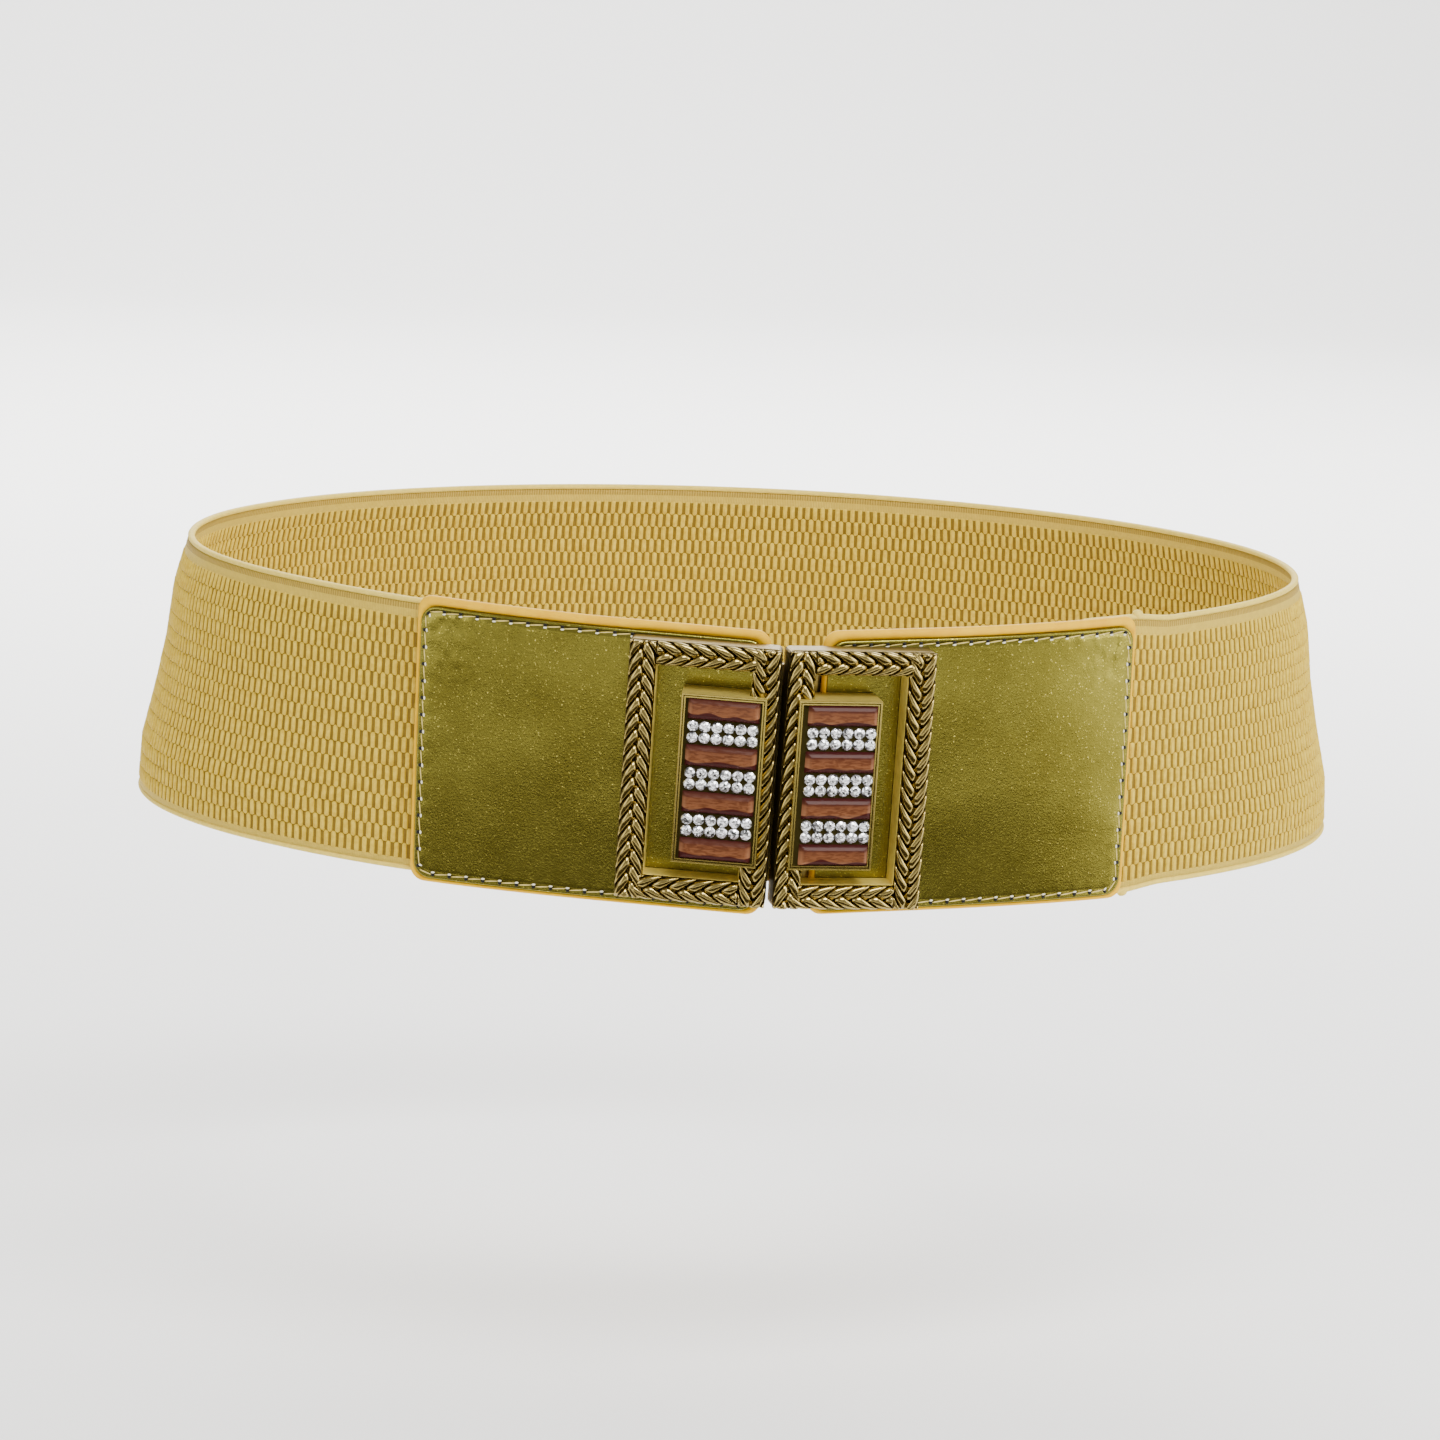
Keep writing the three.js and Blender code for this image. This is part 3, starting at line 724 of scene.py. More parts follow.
def paint(tree, shader, colour, roughness=None):
    feed(tree, shader.inputs["Base Color"], colour)
    if roughness is not None:
        feed(tree, shader.inputs["Roughness"], roughness)


def emboss(tree, shader, height, strength, distance):
    bump = node(tree, "ShaderNodeBump", {"Strength": strength, "Distance": distance, "Height": height})
    feed(tree, shader.inputs["Normal"], bump.outputs["Normal"])


def woven_material(name, light, dark, roughness, yarn_scale, bump, furrow_shade=0.0):
    """Soft yarn on the flat UV map; its last argument sets how much shade is painted into the furrows between
    its fine yarns.
    """
    material, tree, shader = new_material(name, roughness=roughness, specular_ior_level=0.25)
    yarns = use_group(tree, yarn_group, uv_coordinates(tree, "flat"), scale=yarn_scale)["Height"]
    # Painted shade: the furrows between the fine yarns are painted with a darker copy of the yarn
    ridge = range_of(tree, yarns, 1 - furrow_shade, 1)
    colour = mottle(tree, light, dark, 700.0, 0.22)["Color"]
    paint(tree, shader, blend(tree, ridge, opaque(darker(dark, 0.55)), colour))
    emboss(tree, shader, yarns, bump, 0.15 * MM)
    return material


def leather_material(panel):
    material, tree, shader = new_material("metallic_gold_leather", metallic=0.92)
    foil = mottle(tree, panel.leather_colour, panel.leather_shade, 60.0, 0.3)["Color"]
    grain = crinkle(tree, 900.0, 0.8)
    # Painted highlight: sparse glints painted in a bright colour, which are also glossier
    glinted = blend(tree, range_of(tree, grain["Glint"], 0, 0.8), foil, opaque(panel.glint_colour))
    paint(tree, shader, glinted, range_of(tree, grain["Glint"], 0.27, 0.16))
    emboss(tree, shader, grain["Height"], 0.45, 0.1 * MM)
    return material


def thread_material(name, colour):
    material, tree, shader = new_material(name, roughness=0.6, specular_ior_level=0.3)
    fibres = mottle(tree, colour, darker(colour, 0.7), 1500.0, 0.25)
    paint(tree, shader, fibres["Color"])
    emboss(tree, shader, fibres["Mask"], 0.3, 0.05 * MM)
    return material


def painted_material(panel):
    material, tree, shader = new_material("painted_mustard_edge", specular_ior_level=0.1)
    coats = mottle(tree, panel.edge_colour, panel.edge_shade, 220.0, 0.35)
    paint(tree, shader, coats["Color"], range_of(tree, coats["Mask"], 0.42, 0.55))
    emboss(tree, shader, crinkle(tree, 500.0, 0.8)["Height"], 0.12, 0.05 * MM)
    return material


def cast_gold_material(name, metal, recess_shade, roughness):
    """Cast metal with shade painted into its recesses, which are also dull; the relief attribute gives them.
    """
    material, tree, shader = new_material(name, metallic=1.0)
    raised = range_of(tree, attribute(tree, "relief"), 0, 1, 0.1, 0.55, soft=True)
    plating = mottle(tree, metal, darker(metal, 0.93), 260.0, 0.4)
    polish = range_of(tree, plating["Mask"], roughness + 0.08, roughness)
    dull = maths(tree, "MAXIMUM", polish, range_of(tree, raised, 0.8, 0))
    paint(tree, shader, blend(tree, raised, opaque(recess_shade), plating["Color"]), dull)
    emboss(tree, shader, crinkle(tree, 700.0, 0.9)["Height"], 0.01, 0.04 * MM)
    return material


def plain_metal_material(name, metal, roughness, metallic=1.0):
    material, tree, shader = new_material(name, metallic=metallic)
    plating = mottle(tree, metal, darker(metal, 0.7), 300.0, 0.35)
    paint(tree, shader, plating["Color"], range_of(tree, plating["Mask"], roughness + 0.1, roughness))
    emboss(tree, shader, crinkle(tree, 600.0, 0.9)["Height"], 0.08, 0.04 * MM)
    return material


def crystal_material():
    """Clear foil-backed glass: bright facets with broken inner reflections."""
    material, tree, shader = new_material(
        "clear_round_stone", metallic=0.75, roughness=0.06, coat_weight=1.0, coat_roughness=0.02)
    cells = node(tree, "ShaderNodeTexVoronoi", {"Vector": object_coordinates(tree), "Scale": 1500.0}).outputs
    split = node(tree, "ShaderNodeSeparateColor", {"Color": cells["Color"]}).outputs
    paint(tree, shader, ramp(tree, split["Red"], ((0.15, (0.1, 0.1, 0.1)), (0.45, (0.98, 0.98, 1.0)))))
    emboss(tree, shader, cells["Distance"], 0.5, 0.15 * MM)
    return material


# Shade over the upper half of a rose stone: place across it, and share of the dark reflection
ROSE_SHADE = ((0.2, 0.0), (0.72, 0.38), (0.8, 0.78), (1.0, 1.0))


def rose_material(stones):
    """Rose glass over foil, on the cut UV map, whose V runs from -1 to 1 across each stone; its streaks and
    lighter ends are painted reflections and light.
    """
    material, tree, shader = new_material("rose_glass_stone", specular_ior_level=0.06)
    cut = uv_coordinates(tree, "cut")
    split = node(tree, "ShaderNodeSeparateXYZ", {"Vector": cut}).outputs
    stretched = node(tree, "ShaderNodeMapping", {"Vector": cut, "Scale": (0.9, 3.2, 1)}).outputs["Vector"]
    streaks = node(tree, "ShaderNodeTexNoise",
                   {"Vector": stretched, "Scale": 1.4, "Detail": 3.0, "Distortion": 0.8}).outputs["Fac"]
    streak = range_of(tree, streaks, 0, 1, 0.35, 0.65, soft=True)
    body = blend(tree, streak, opaque(stones.rose_reflection_streak), opaque(stones.rose_colour))
    tip = range_of(tree, attribute(tree, "end"), 0, 0.75)
    tipped = blend(tree, tip, body, opaque(stones.rose_end_light))
    waves = node(tree, "ShaderNodeTexNoise", {"W": split["X"], "Scale": 0.55, "Detail": 0.0},
                 noise_dimensions="1D").outputs["Fac"]
    over_wave = maths(tree, "SUBTRACT", split["Y"], maths(tree, "MULTIPLY", waves, 0.7))
    foot = range_of(tree, over_wave, 0, 1, -0.74, -0.86, soft=True)
    waved = blend(tree, foot, tipped, opaque(stones.rose_dark))
    stops = [(place, (share, share, share)) for place, share in ROSE_SHADE]
    head = ramp(tree, range_of(tree, split["Y"], 0, 1, -1, 1), stops)
    colour = blend(tree, head, waved, opaque(stones.rose_dark))
    paint(tree, shader, colour, range_of(tree, streak, 0.05, 0.16))
    return material


# Woven elastic

# Half thickness of the rolled bead, of the groove beside it and of the plain border
BEAD_THICKNESS = 1.02 * MM
GROOVE_THICKNESS = 0.3 * MM
BORDER_THICKNESS = 0.8 * MM
# Depth below the edge at which the groove and the hatched strip end
GROOVE_END = 1.7 * MM
HATCH_END = 3 * MM
# Depths of the mesh lines near an edge, and of the outermost even line at the foot and at the top
EDGE_LINES = [depth * MM for depth in (0, 0.12, 0.35, 0.75, 1.15, 1.4, 1.55, 1.8, 3.2)]
INNER_START, INNER_STOP = 5 * MM, 5.6 * MM
INNER_SPACES = 15
# Where the elastic is hemmed into the right panel it is this much taller, over this distance
HEM_STRETCH = 0.04
HEM_RUN = 16 * MM


def elastic_place(height):
    """Place on the belt of a point of the flat elastic, which swells between its two ends."""
    left_edge = LOOP_LENGTH - LEFT_FAR

    def place(along, up, out):
        past_right = smoothstep(along, RIGHT_FAR, RIGHT_FAR + SWELL_RUN)
        swelling = past_right * (1 - smoothstep(along, left_edge - SWELL_RUN, left_edge))
        tall = up * (1 + HEM_STRETCH * (1 - smoothstep(along, RIGHT_FAR, RIGHT_FAR + HEM_RUN)))
        return on_belt(along, tall, out + swelling * swell_at(up, height))
    return place


def elastic_run(tuck):
    """Start and length of the elastic with a tuck under each panel."""
    start = RIGHT_FAR - tuck
    return start, LOOP_LENGTH - LEFT_FAR + tuck - start


def border_width(cloth, up):
    return cloth.top_selvedge if up > 0 else cloth.bottom_selvedge


def half_thickness(cloth, up):
    depth = cloth.height / 2 - abs(up)
    border = border_width(cloth, up)
    if depth <= cloth.bead:
        middle = cloth.bead / 2
        return BEAD_THICKNESS * math.sqrt(max(0, 1 - ((depth - middle) / middle) ** 2))
    if depth < GROOVE_END:
        return GROOVE_THICKNESS
    return lerp(BORDER_THICKNESS, cloth.ground, smoothstep(depth, border - 0.6 * MM, border))


class BELT_OT_elastic_band(bpy.types.Operator):
    """Ground of the woven elastic with its plain borders and rolled edges"""
    bl_idname = "belt.elastic_band"
    bl_label = "Elastic Band"

    # Material indices
    GROUND, BEAD, BORDER, HATCHING = range(4)

    def execute(self, context):
        cloth = context.scene.belt_elastic
        start, length = elastic_run(TUCK)
        count = round(length / cloth.rib_pitch)
        half = cloth.height / 2
        low, high = INNER_START - half, half - INNER_STOP
        lines = [depth - half for depth in EDGE_LINES]
        lines += [lerp(low, high, i / INNER_SPACES) for i in range(INNER_SPACES + 1)]
        lines += [half - depth for depth in reversed(EDGE_LINES)]

        def surface(sign):
            def place(column, row):
                thick = 0 if row in (0, len(lines) - 1) else half_thickness(cloth, lines[row])
                return Vector((start + length * column / count, lines[row], ELASTIC_MIDDLE + sign * thick))
            return place

        bm = closed_slab(count + 1, len(lines), surface(-1), surface(1))
        for face in bm.faces:
            face.material_index = self.finish_at(cloth, face.calc_center_median().y)
        wrap(bm, elastic_place(cloth.height))
        ground, bead = cloth.ground_colour, cloth.bead_colour
        border, hatching = cloth.selvedge_colour, cloth.hatch_colour
        # The border and the hatching get painted shade in the furrows between their fine yarns
        materials = (
            woven_material("elastic_ground", ground, darker(ground, 0.8), 0.75, 6.0, 0.3),
            woven_material("elastic_bead", bead, darker(bead, 0.86), 0.6, 10.0, 0.35),
            woven_material("elastic_border", border, darker(border, 0.88), 0.62, 6.0, 0.5, 0.3),
            woven_material("elastic_hatching", hatching, darker(hatching, 0.84), 0.62, 3.9, 0.9, 0.8))
        add_piece("woven_elastic_band", bm, materials, "elastic_band")
        return {"FINISHED"}

    def finish_at(self, cloth, up):
        depth = cloth.height / 2 - abs(up)
        if depth < cloth.bead:
            return self.BEAD
        if up > 0 and depth < HATCH_END:
            return self.HATCHING
        return self.BORDER if depth < border_width(cloth, up) else self.GROUND


# A rib's section: share of its half width and of its height
RIB_SECTION = ((-1, 0), (-0.72, 0.76), (0, 1), (0.72, 0.76), (1, 0))
# Along a rib: share of its half length, of its width and of its height
RIB_STATIONS = ((-1, 0.7, 0.3), (-0.8, 1, 0.94), (0.8, 1, 0.94), (1, 0.7, 0.3))
# How far a rib is sunk in the ground
RIB_SUNK = 0.2 * MM
# Height of a row of ribs at which the rows are counted
ROW_PITCH = 4.15 * MM
# Uneven weave: largest shift of a corner along, up and out, and how fast it changes from rib to rib
RIB_SHIFT = Vector((0.16, 0.3, 0.08)) * MM
RIB_WANDER = 0.73


def weave_rows(cloth):
    """Number of rows of ribs, their pitch and the height of their foot."""
    low = -cloth.height / 2 + cloth.bottom_selvedge - 0.3 * MM
    high = cloth.height / 2 - cloth.top_selvedge + 0.5 * MM
    count = 2 * round((high - low) / (2 * ROW_PITCH))
    return count, (high - low) / count, low


def rib_pair(cloth, facing):
    """Two staggered ribs, flat side sunk in the ground; facing is 1 outwards, -1 inwards."""
    foot = cloth.ground - RIB_SUNK
    bm = bmesh.new()
    for right, up in ((0, 0), (cloth.rib_pitch / 2, weave_rows(cloth)[1])):
        def place(column, row):
            along, broad, tall = RIB_STATIONS[column]
            across, high = RIB_SECTION[row % len(RIB_SECTION)]
            rise = foot + (cloth.rib_top - foot) * high * tall
            return Vector((
                right + across * broad * cloth.rib_width / 2,
                up + along * cloth.rib_length / 2,
                ELASTIC_MIDDLE + facing * rise))
        rolled_grid(bm, len(RIB_STATIONS), len(RIB_SECTION) + 1, place)
    close_tubes(bm)
    smooth(bm)
    return mesh_from("rib_pair", bm)


def repeat(item, count, step):
    array = item.modifiers.new("rows", "ARRAY")
    array.count = count
    array.use_relative_offset = False
    array.use_constant_offset = True
    array.constant_offset_displace = step


class BELT_OT_elastic_ribs(bpy.types.Operator):
    """Staggered ribs of the weave, outside and inside, and the turned corners of the hem"""
    bl_idname = "belt.elastic_ribs"
    bl_label = "Elastic Ribs"

    def execute(self, context):
        cloth = context.scene.belt_elastic
        noise.seed_set(UNEVEN_SEED)
        yarn = woven_material("elastic_rib", cloth.rib_colour, cloth.rib_shade, 0.6, 5.0, 0.35)
        pieces = [
            self.ribs(context, "elastic_ribs_outside", 1, 2 * MM, yarn),
            self.ribs(context, "elastic_ribs_inside", -1, TUCK - 1 * MM, yarn),
            self.hem_nubs(cloth)]
        return {"FINISHED"}

    @staticmethod
    def ribs(context, name, facing, tuck, yarn):
        """Field of ribs on one side of the elastic, each a little off its place."""
        cloth = context.scene.belt_elastic
        rows, pitch, low = weave_rows(cloth)
        start, length = elastic_run(tuck)
        count = round(length / cloth.rib_pitch)
        pair = add_object(name + "_pair", rib_pair(cloth, facing))
        repeat(pair, count, (length / count, 0, 0))
        repeat(pair, rows // 2, (0, 2 * pitch, 0))
        bm = bmesh.new()
        bm.from_mesh(bpy.data.meshes.new_from_object(pair.evaluated_get(context.evaluated_depsgraph_get())))
        bpy.data.objects.remove(pair)
        bmesh.ops.translate(bm, verts=bm.verts, vec=(start, low + pitch / 2, 0))
        for vert in bm.verts:
            cell = Vector((round(vert.co.x / cloth.rib_pitch * 2), round(vert.co.y / pitch * 2), facing))
            vert.co += noise.noise_vector(cell * RIB_WANDER) * RIB_SHIFT
        wrap(bm, elastic_place(cloth.height))
        return add_piece(name, bm, [yarn], "elastic_band")

    @staticmethod
    def hem_nubs(cloth):
        """Turned-in corners of the hem where the elastic is sewn into the right panel."""
        bm = bmesh.new()
        for up, size in ((cloth.height / 2, 1.5 * MM), (-cloth.height / 2, 1.2 * MM)):
            spot = Vector((RIGHT_FAR + 2.6 * MM, up - math.copysign(0.2 * MM, up), ELASTIC_MIDDLE + 0.1 * MM))
            form = Matrix.Diagonal((1.25, 0.9, 0.8, 1))
            bmesh.ops.create_uvsphere(
                bm, u_segments=14, v_segments=8, radius=size, matrix=Matrix.Translation(spot) @ form)
        smooth(bm)
        wrap(bm, elastic_place(cloth.height))
        return add_piece("elastic_hem_nubs", bm, [bpy.data.materials["elastic_bead"]])


# Leather end panels

PANEL_ENDS = ((-LEFT_FAR, -LEFT_NEAR), (RIGHT_NEAR, RIGHT_FAR))
BACKING_STEP = 2.5 * MM
# Middle and half height of the painted edge's round, and how far it runs in under the leather
EDGE_MIDDLE = 1.55 * MM
EDGE_BULGE = 1.35 * MM
EDGE_UNDER = 0.15 * MM
# How much larger the leather's corners are cut than the backing's
CORNER_EXTRA = 0.4 * MM


def backing_outlines(panel):
    return [PanelOutline(near, far, panel.height, panel.corner, 0, BACKING_STEP) for near, far in PANEL_ENDS]


def face_outlines(panel):
    height = panel.height - 2 * panel.margin
    return [
        PanelOutline(near + panel.end_margin, far - panel.end_margin, height,
                     panel.corner + CORNER_EXTRA, panel.drop, panel.mesh_step)
        for near, far in PANEL_ENDS
    ]


class BELT_OT_panel_backings(bpy.types.Operator):
    """Mustard backings whose thick painted edge stands round the leather"""
    bl_idname = "belt.panel_backings"
    bl_label = "Panel Backings"

    def execute(self, context):
        panel = context.scene.belt_panel
        painted = painted_material(panel)
        for (side_name, _), outline, face in zip(SIDES, backing_outlines(panel), face_outlines(panel)):
            def surface(sign):
                def place(column, row):
                    x, y = outline.flat(column, row)
                    depth = max(outline.inside(x, y), 0)
                    beyond = max(EDGE_UNDER - face.inside(x, y), 0)
                    share = depth / (depth + beyond) if beyond else 1
                    swell = EDGE_BULGE * math.sqrt(max(0, 1 - (2 * share - 1) ** 2))
                    if sign > 0:
                        out = max(EDGE_MIDDLE + swell, BACKING_OUTER) if share < 1 else BACKING_OUTER
                    else:
                        out = EDGE_MIDDLE - swell if share < 0.5 else BACKING_INNER
                    return Vector((x, y, out))
                return place

            bm = outline.slab(surface(-1), surface(1))
            wrap(bm)
            replaced = f"panel_{side_name}_backing"
            add_piece(f"painted_backing_{side_name}", bm, [painted], replaced)
        return {"FINISHED"}


# Round of the leather's rim
RIM_ROUND = 0.8 * MM
# Furrow that the stitches draw, and the puffs between them: depth and half width
FURROW_DEPTH, FURROW_WIDTH = 0.3 * MM, 0.5 * MM
PUFF_HEIGHT, PUFF_WIDTH = 0.04 * MM, 1.2 * MM
# How far the puffs lie inside the stitches
PUFF_INSET = 1 * MM
# How far the leather's outside stays under the layer's outer limit
LEATHER_UNDER = 0.1 * MM
# Distance in from the rim at which the waves have their full height, and distance of the finest ones
WAVE_RUN = 3 * MM
CORNER_INSET = 4 * MM
# Distance past the window's opening at which the leather starts and ends to rise
WINDOW_RISE = (1.35 * MM, 2.5 * MM)


def hump(distance, width):
    return math.exp(-(distance / width) ** 2)


def wrinkle(x, y, corner):
    """Soft waves of the leather, stronger and finer towards one corner of the panel."""
    near = hump(math.hypot(x - corner[0], y - corner[1]), 14 * MM)
    broad = noise.noise(Vector((x, y, 0)) / (18 * MM)) * 0.2 * MM
    fine = noise.noise(Vector((x * 1.7, y, 3)) / (3.2 * MM)) * 0.3 * MM * near
    grain = noise.noise(Vector((x, y, 9)) / (1.6 * MM)) * 0.02 * MM
    return broad + fine + grain


def crown_at(panel, y):
    return panel.crown * (2 * y / panel.height) ** 2


class BELT_OT_panel_faces(bpy.types.Operator):
    """Metallic leather, pressed in behind the windows and drawn down along its seams"""
    bl_idname = "belt.panel_faces"
    bl_label = "Panel Faces"

    def execute(self, context):
        panel = context.scene.belt_panel
        buckle = context.scene.belt_frame
        leather = leather_material(panel)
        open_x = buckle.width / 2 - buckle.side_bar
        open_y = buckle.height / 2 - buckle.end_bar
        for (side_name, side), outline in zip(SIDES, face_outlines(panel)):
            to_buckle = buckle_seat(side).inverted()
            far_corner = (outline.start + (CORNER_INSET if side < 0 else outline.width - CORNER_INSET),
                          outline.height / 2 - CORNER_INSET)

            def upper(column, row):
                x, y = outline.flat(column, row)
                depth = max(outline.inside(x, y), 0)
                rim = panel.rim_drop * (1 - math.sqrt(1 - (1 - min(depth / RIM_ROUND, 1)) ** 2))
                furrow = FURROW_DEPTH * hump(depth - panel.stitch_inset, FURROW_WIDTH)
                at_long_rim = outline.height / 2 - abs(y + outline.drop) < CORNER_INSET
                beat = math.cos(2 * math.pi * (x if at_long_rim else y) / panel.stitch_pitch)
                puff = PUFF_HEIGHT * beat * hump(depth - panel.stitch_inset - PUFF_INSET, PUFF_WIDTH)
                waves = wrinkle(x, y, far_corner)
                out = FACE_OUTER - rim - furrow + puff - crown_at(panel, y) - LEATHER_UNDER
                out += waves * smoothstep(depth, 0, WAVE_RUN)
                spot = to_buckle @ on_belt(x, y, FACE_OUTER)
                past = max(abs(spot.x) - open_x, abs(spot.y) - open_y)
                return Vector((x, y, lerp(WINDOW_FLOOR + 0.3 * waves, out, smoothstep(past, *WINDOW_RISE))))

            def lower(column, row):
                return Vector((*outline.flat(column, row), FACE_INNER))

            bm = outline.slab(lower, upper)
            wrap(bm)
            replaced = f"panel_{side_name}_face"
            add_piece(f"leather_face_{side_name}", bm, [leather], replaced)
        return {"FINISHED"}


# A thread's share of the distance between two holes, and its slant
THREAD_SHARE = 0.45
THREAD_SLANT = math.radians(7)
HOLE_RADIUS = 0.52 * MM
KNOT_RADIUS = 0.36 * MM
# Level of the furrow's bed under the leather's outer limit
FURROW_BED = 0.4 * MM
# How far in from its outer edge a frame still hides a stitch
FRAME_COVER = 1 * MM


def ball_form(name, radius, stretch):
    bm = bmesh.new()
    bmesh.ops.create_uvsphere(
        bm, u_segments=10, v_segments=8, radius=radius, matrix=Matrix.Diagonal((*stretch, 1)))
    return mesh_from(name, bm)


class BELT_OT_stitching(bpy.types.Operator):
    """Thread and needle holes along the rims of the leather; the holes are dark discs of painted shade"""
    bl_idname = "belt.stitching"
    bl_label = "Stitching"

    # Material indices
    THREAD, HOLE, LAID = range(3)

    def execute(self, context):
        panel = context.scene.belt_panel
        buckle = context.scene.belt_frame
        # The thread's lit and shaded copies, and the painted shade of the needle holes
        materials = (
            thread_material("lit_sewing_thread", panel.lit_thread_colour),
            thread_material("needle_hole_shade", panel.hole_shade_colour),
            thread_material("shaded_laid_thread", panel.shaded_laid_colour))
        forms = (
            ball_form("thread", panel.thread, (panel.stitch_pitch * THREAD_SHARE / panel.thread, 1, 1)),
            ball_form("needle_hole_shade", HOLE_RADIUS, (1, 1, 0.4)),
            ball_form("knot", KNOT_RADIUS, (1.5, 0.8, 0.9)))
        for (side_name, side), outline in zip(SIDES, face_outlines(panel)):
            bm = bmesh.new()
            count = round(outline.loop_length(panel.stitch_inset) / panel.stitch_pitch)
            to_buckle = buckle_seat(side).inverted()
            for index in range(count):
                spot = outline.loop_point((index + 0.5) / count, panel.stitch_inset)[0]
                local = to_buckle @ on_belt(spot.x, spot.y, FACE_OUTER)
                past_x = abs(local.x) - buckle.width / 2
                past_y = abs(local.y) - buckle.height / 2
                if max(past_x, past_y) > -FRAME_COVER:
                    self.stitch(bm, forms, panel, outline, index, count)
            smooth(bm)
            wrap(bm)
            add_piece(f"stitching_{side_name}", bm, materials)
        return {"FINISHED"}

    def stitch(self, bm, forms, panel, outline, index, count):
        """One laid thread, and the hole's disc of painted shade and the turn of the thread before it."""
        thread, hole, knot = forms

        def on_leather(point, over):
            level = FACE_OUTER - FURROW_BED - crown_at(panel, point.y) + over
            return Matrix.Translation(point + Vector((0, 0, level)))

        middle, angle = outline.loop_point((index + 0.5) / count, panel.stitch_inset)
        slant = Matrix.Rotation(angle + math.pi / 2 + THREAD_SLANT, 4, "Z")
        stamp(bm, thread, on_leather(middle, 0.05 * MM) @ slant, self.LAID)
        edge, angle = outline.loop_point(index / count, panel.stitch_inset)
        outward = Vector((math.cos(angle), math.sin(angle), 0))
        stamp(bm, hole, on_leather(edge + outward * 0.25 * MM, 0.2 * MM), self.HOLE)
        stamp(bm, knot, on_leather(edge - outward * 0.4 * MM, 0.14 * MM) @ slant, self.THREAD)


# Buckle frames

def inset_face(bm, face, width, height):
    """Insets a face that lies round the origin to a width and a height."""
    bmesh.ops.inset_individual(bm, faces=[face], thickness=0.1 * MM, use_even_offset=True)
    size_face(face, width, height)


def frame_body(buckle):
    """Flat bar frame whose inner wall reaches down into the leather's hollow."""
    bm = bmesh.new()
    open_width = buckle.width - 2 * buckle.side_bar
    open_height = buckle.height - 2 * buckle.end_bar
    bmesh.ops.create_grid(bm, x_segments=1, y_segments=1, size=0.5)
    centre = bm.faces[:][0]
    size_face(centre, buckle.width, buckle.height)
    inset_face(bm, centre, open_width + 2 * buckle.collar, open_height + 2 * buckle.collar)
    outer = [face for face in bm.faces if face != centre]
    inset_face(bm, centre, open_width, open_height)
    wall = [face for face in bm.faces if face != centre and face not in outer]
    bmesh.ops.delete(bm, geom=[centre], context="FACES_ONLY")
    extrude_faces(bm, outer + wall, buckle.base, keep=True)
    extrude_faces(bm, wall, WINDOW_FLOOR + FIT_GAP - FRAME_SEAT)
    bmesh.ops.recalc_face_normals(bm, faces=bm.faces)

    def outside(vert):
        past_x = abs(vert.co.x) - buckle.width / 2
        past_y = abs(vert.co.y) - buckle.height / 2
        return max(past_x, past_y) > -SAME_PLACE

    upright = [
        edge for edge in bm.edges
        if all(outside(vert) for vert in edge.verts)
        and abs(edge.verts[0].co.z - edge.verts[1].co.z) > buckle.base / 2
    ]
    bevel_edges(bm, upright, buckle.corner, 4)
    top_edges = [
        edge for edge in bm.edges
        if at_level(edge.verts, buckle.base) and len(edge.link_faces) == 2
        and any(abs(face.normal.z) < 0.5 for face in edge.link_faces)
    ]
    bevel_edges(bm, top_edges, 0.35 * MM, 2)
    for face in bm.faces:
        middle = face.calc_center_median()
        past_opening = max(abs(middle.x) - open_width / 2, abs(middle.y) - open_height / 2)
        face.material_index = past_opening < 0.1 * MM
    return bm


STRAND_TURN = math.radians(35)
STRAND_STAGGER = 0.25
# A strand's half width as a share of the pitch, and how far it stays inside the bar's side
STRAND_GIRTH = 0.485
STRAND_INSET = 0.1 * MM
# Along a strand from its outer to its inner end: share of its run, of its width and of its height
STRAND_STATIONS = (
    (0.0, 0.6, 0.45), (0.1, 0.74, 0.74), (0.32, 1.0, 0.96), (0.75, 1.0, 1.0), (1.0, 1.0, 0.7))
# Across a strand: share of its half width and of its height
STRAND_SECTION = (
    (-1, -0.3), (-1, 0.3), (-0.9, 0.62), (-0.6, 0.96), (0, 1), (0.6, 0.96), (0.9, 0.62), (1, 0.3), (1, -0.3))


def strand_form(row, bar_width, pitch, rise):
    """Strand on one side of a bar's middle, which ends against the next strand of the other row."""
    slope = math.tan(STRAND_TURN)
    outer_end = bar_width / 2 - STRAND_INSET

    def place(column, corner):
        run, broad, tall = STRAND_STATIONS[column]
        across, high = STRAND_SECTION[corner % len(STRAND_SECTION)]
        across = (across + 1) * broad - 1
        x = lerp(outer_end, across * pitch * slope / 4, run)
        y = (bar_width / 4 - x) / slope + across * STRAND_GIRTH * pitch
        return Vector((row * x, y, rise * (high * tall if high > 0 else high)))

    bm = bmesh.new()
    rolled_grid(bm, len(STRAND_STATIONS), len(STRAND_SECTION) + 1, place)
    close_tubes(bm)
    return mesh_from("strand", bm)


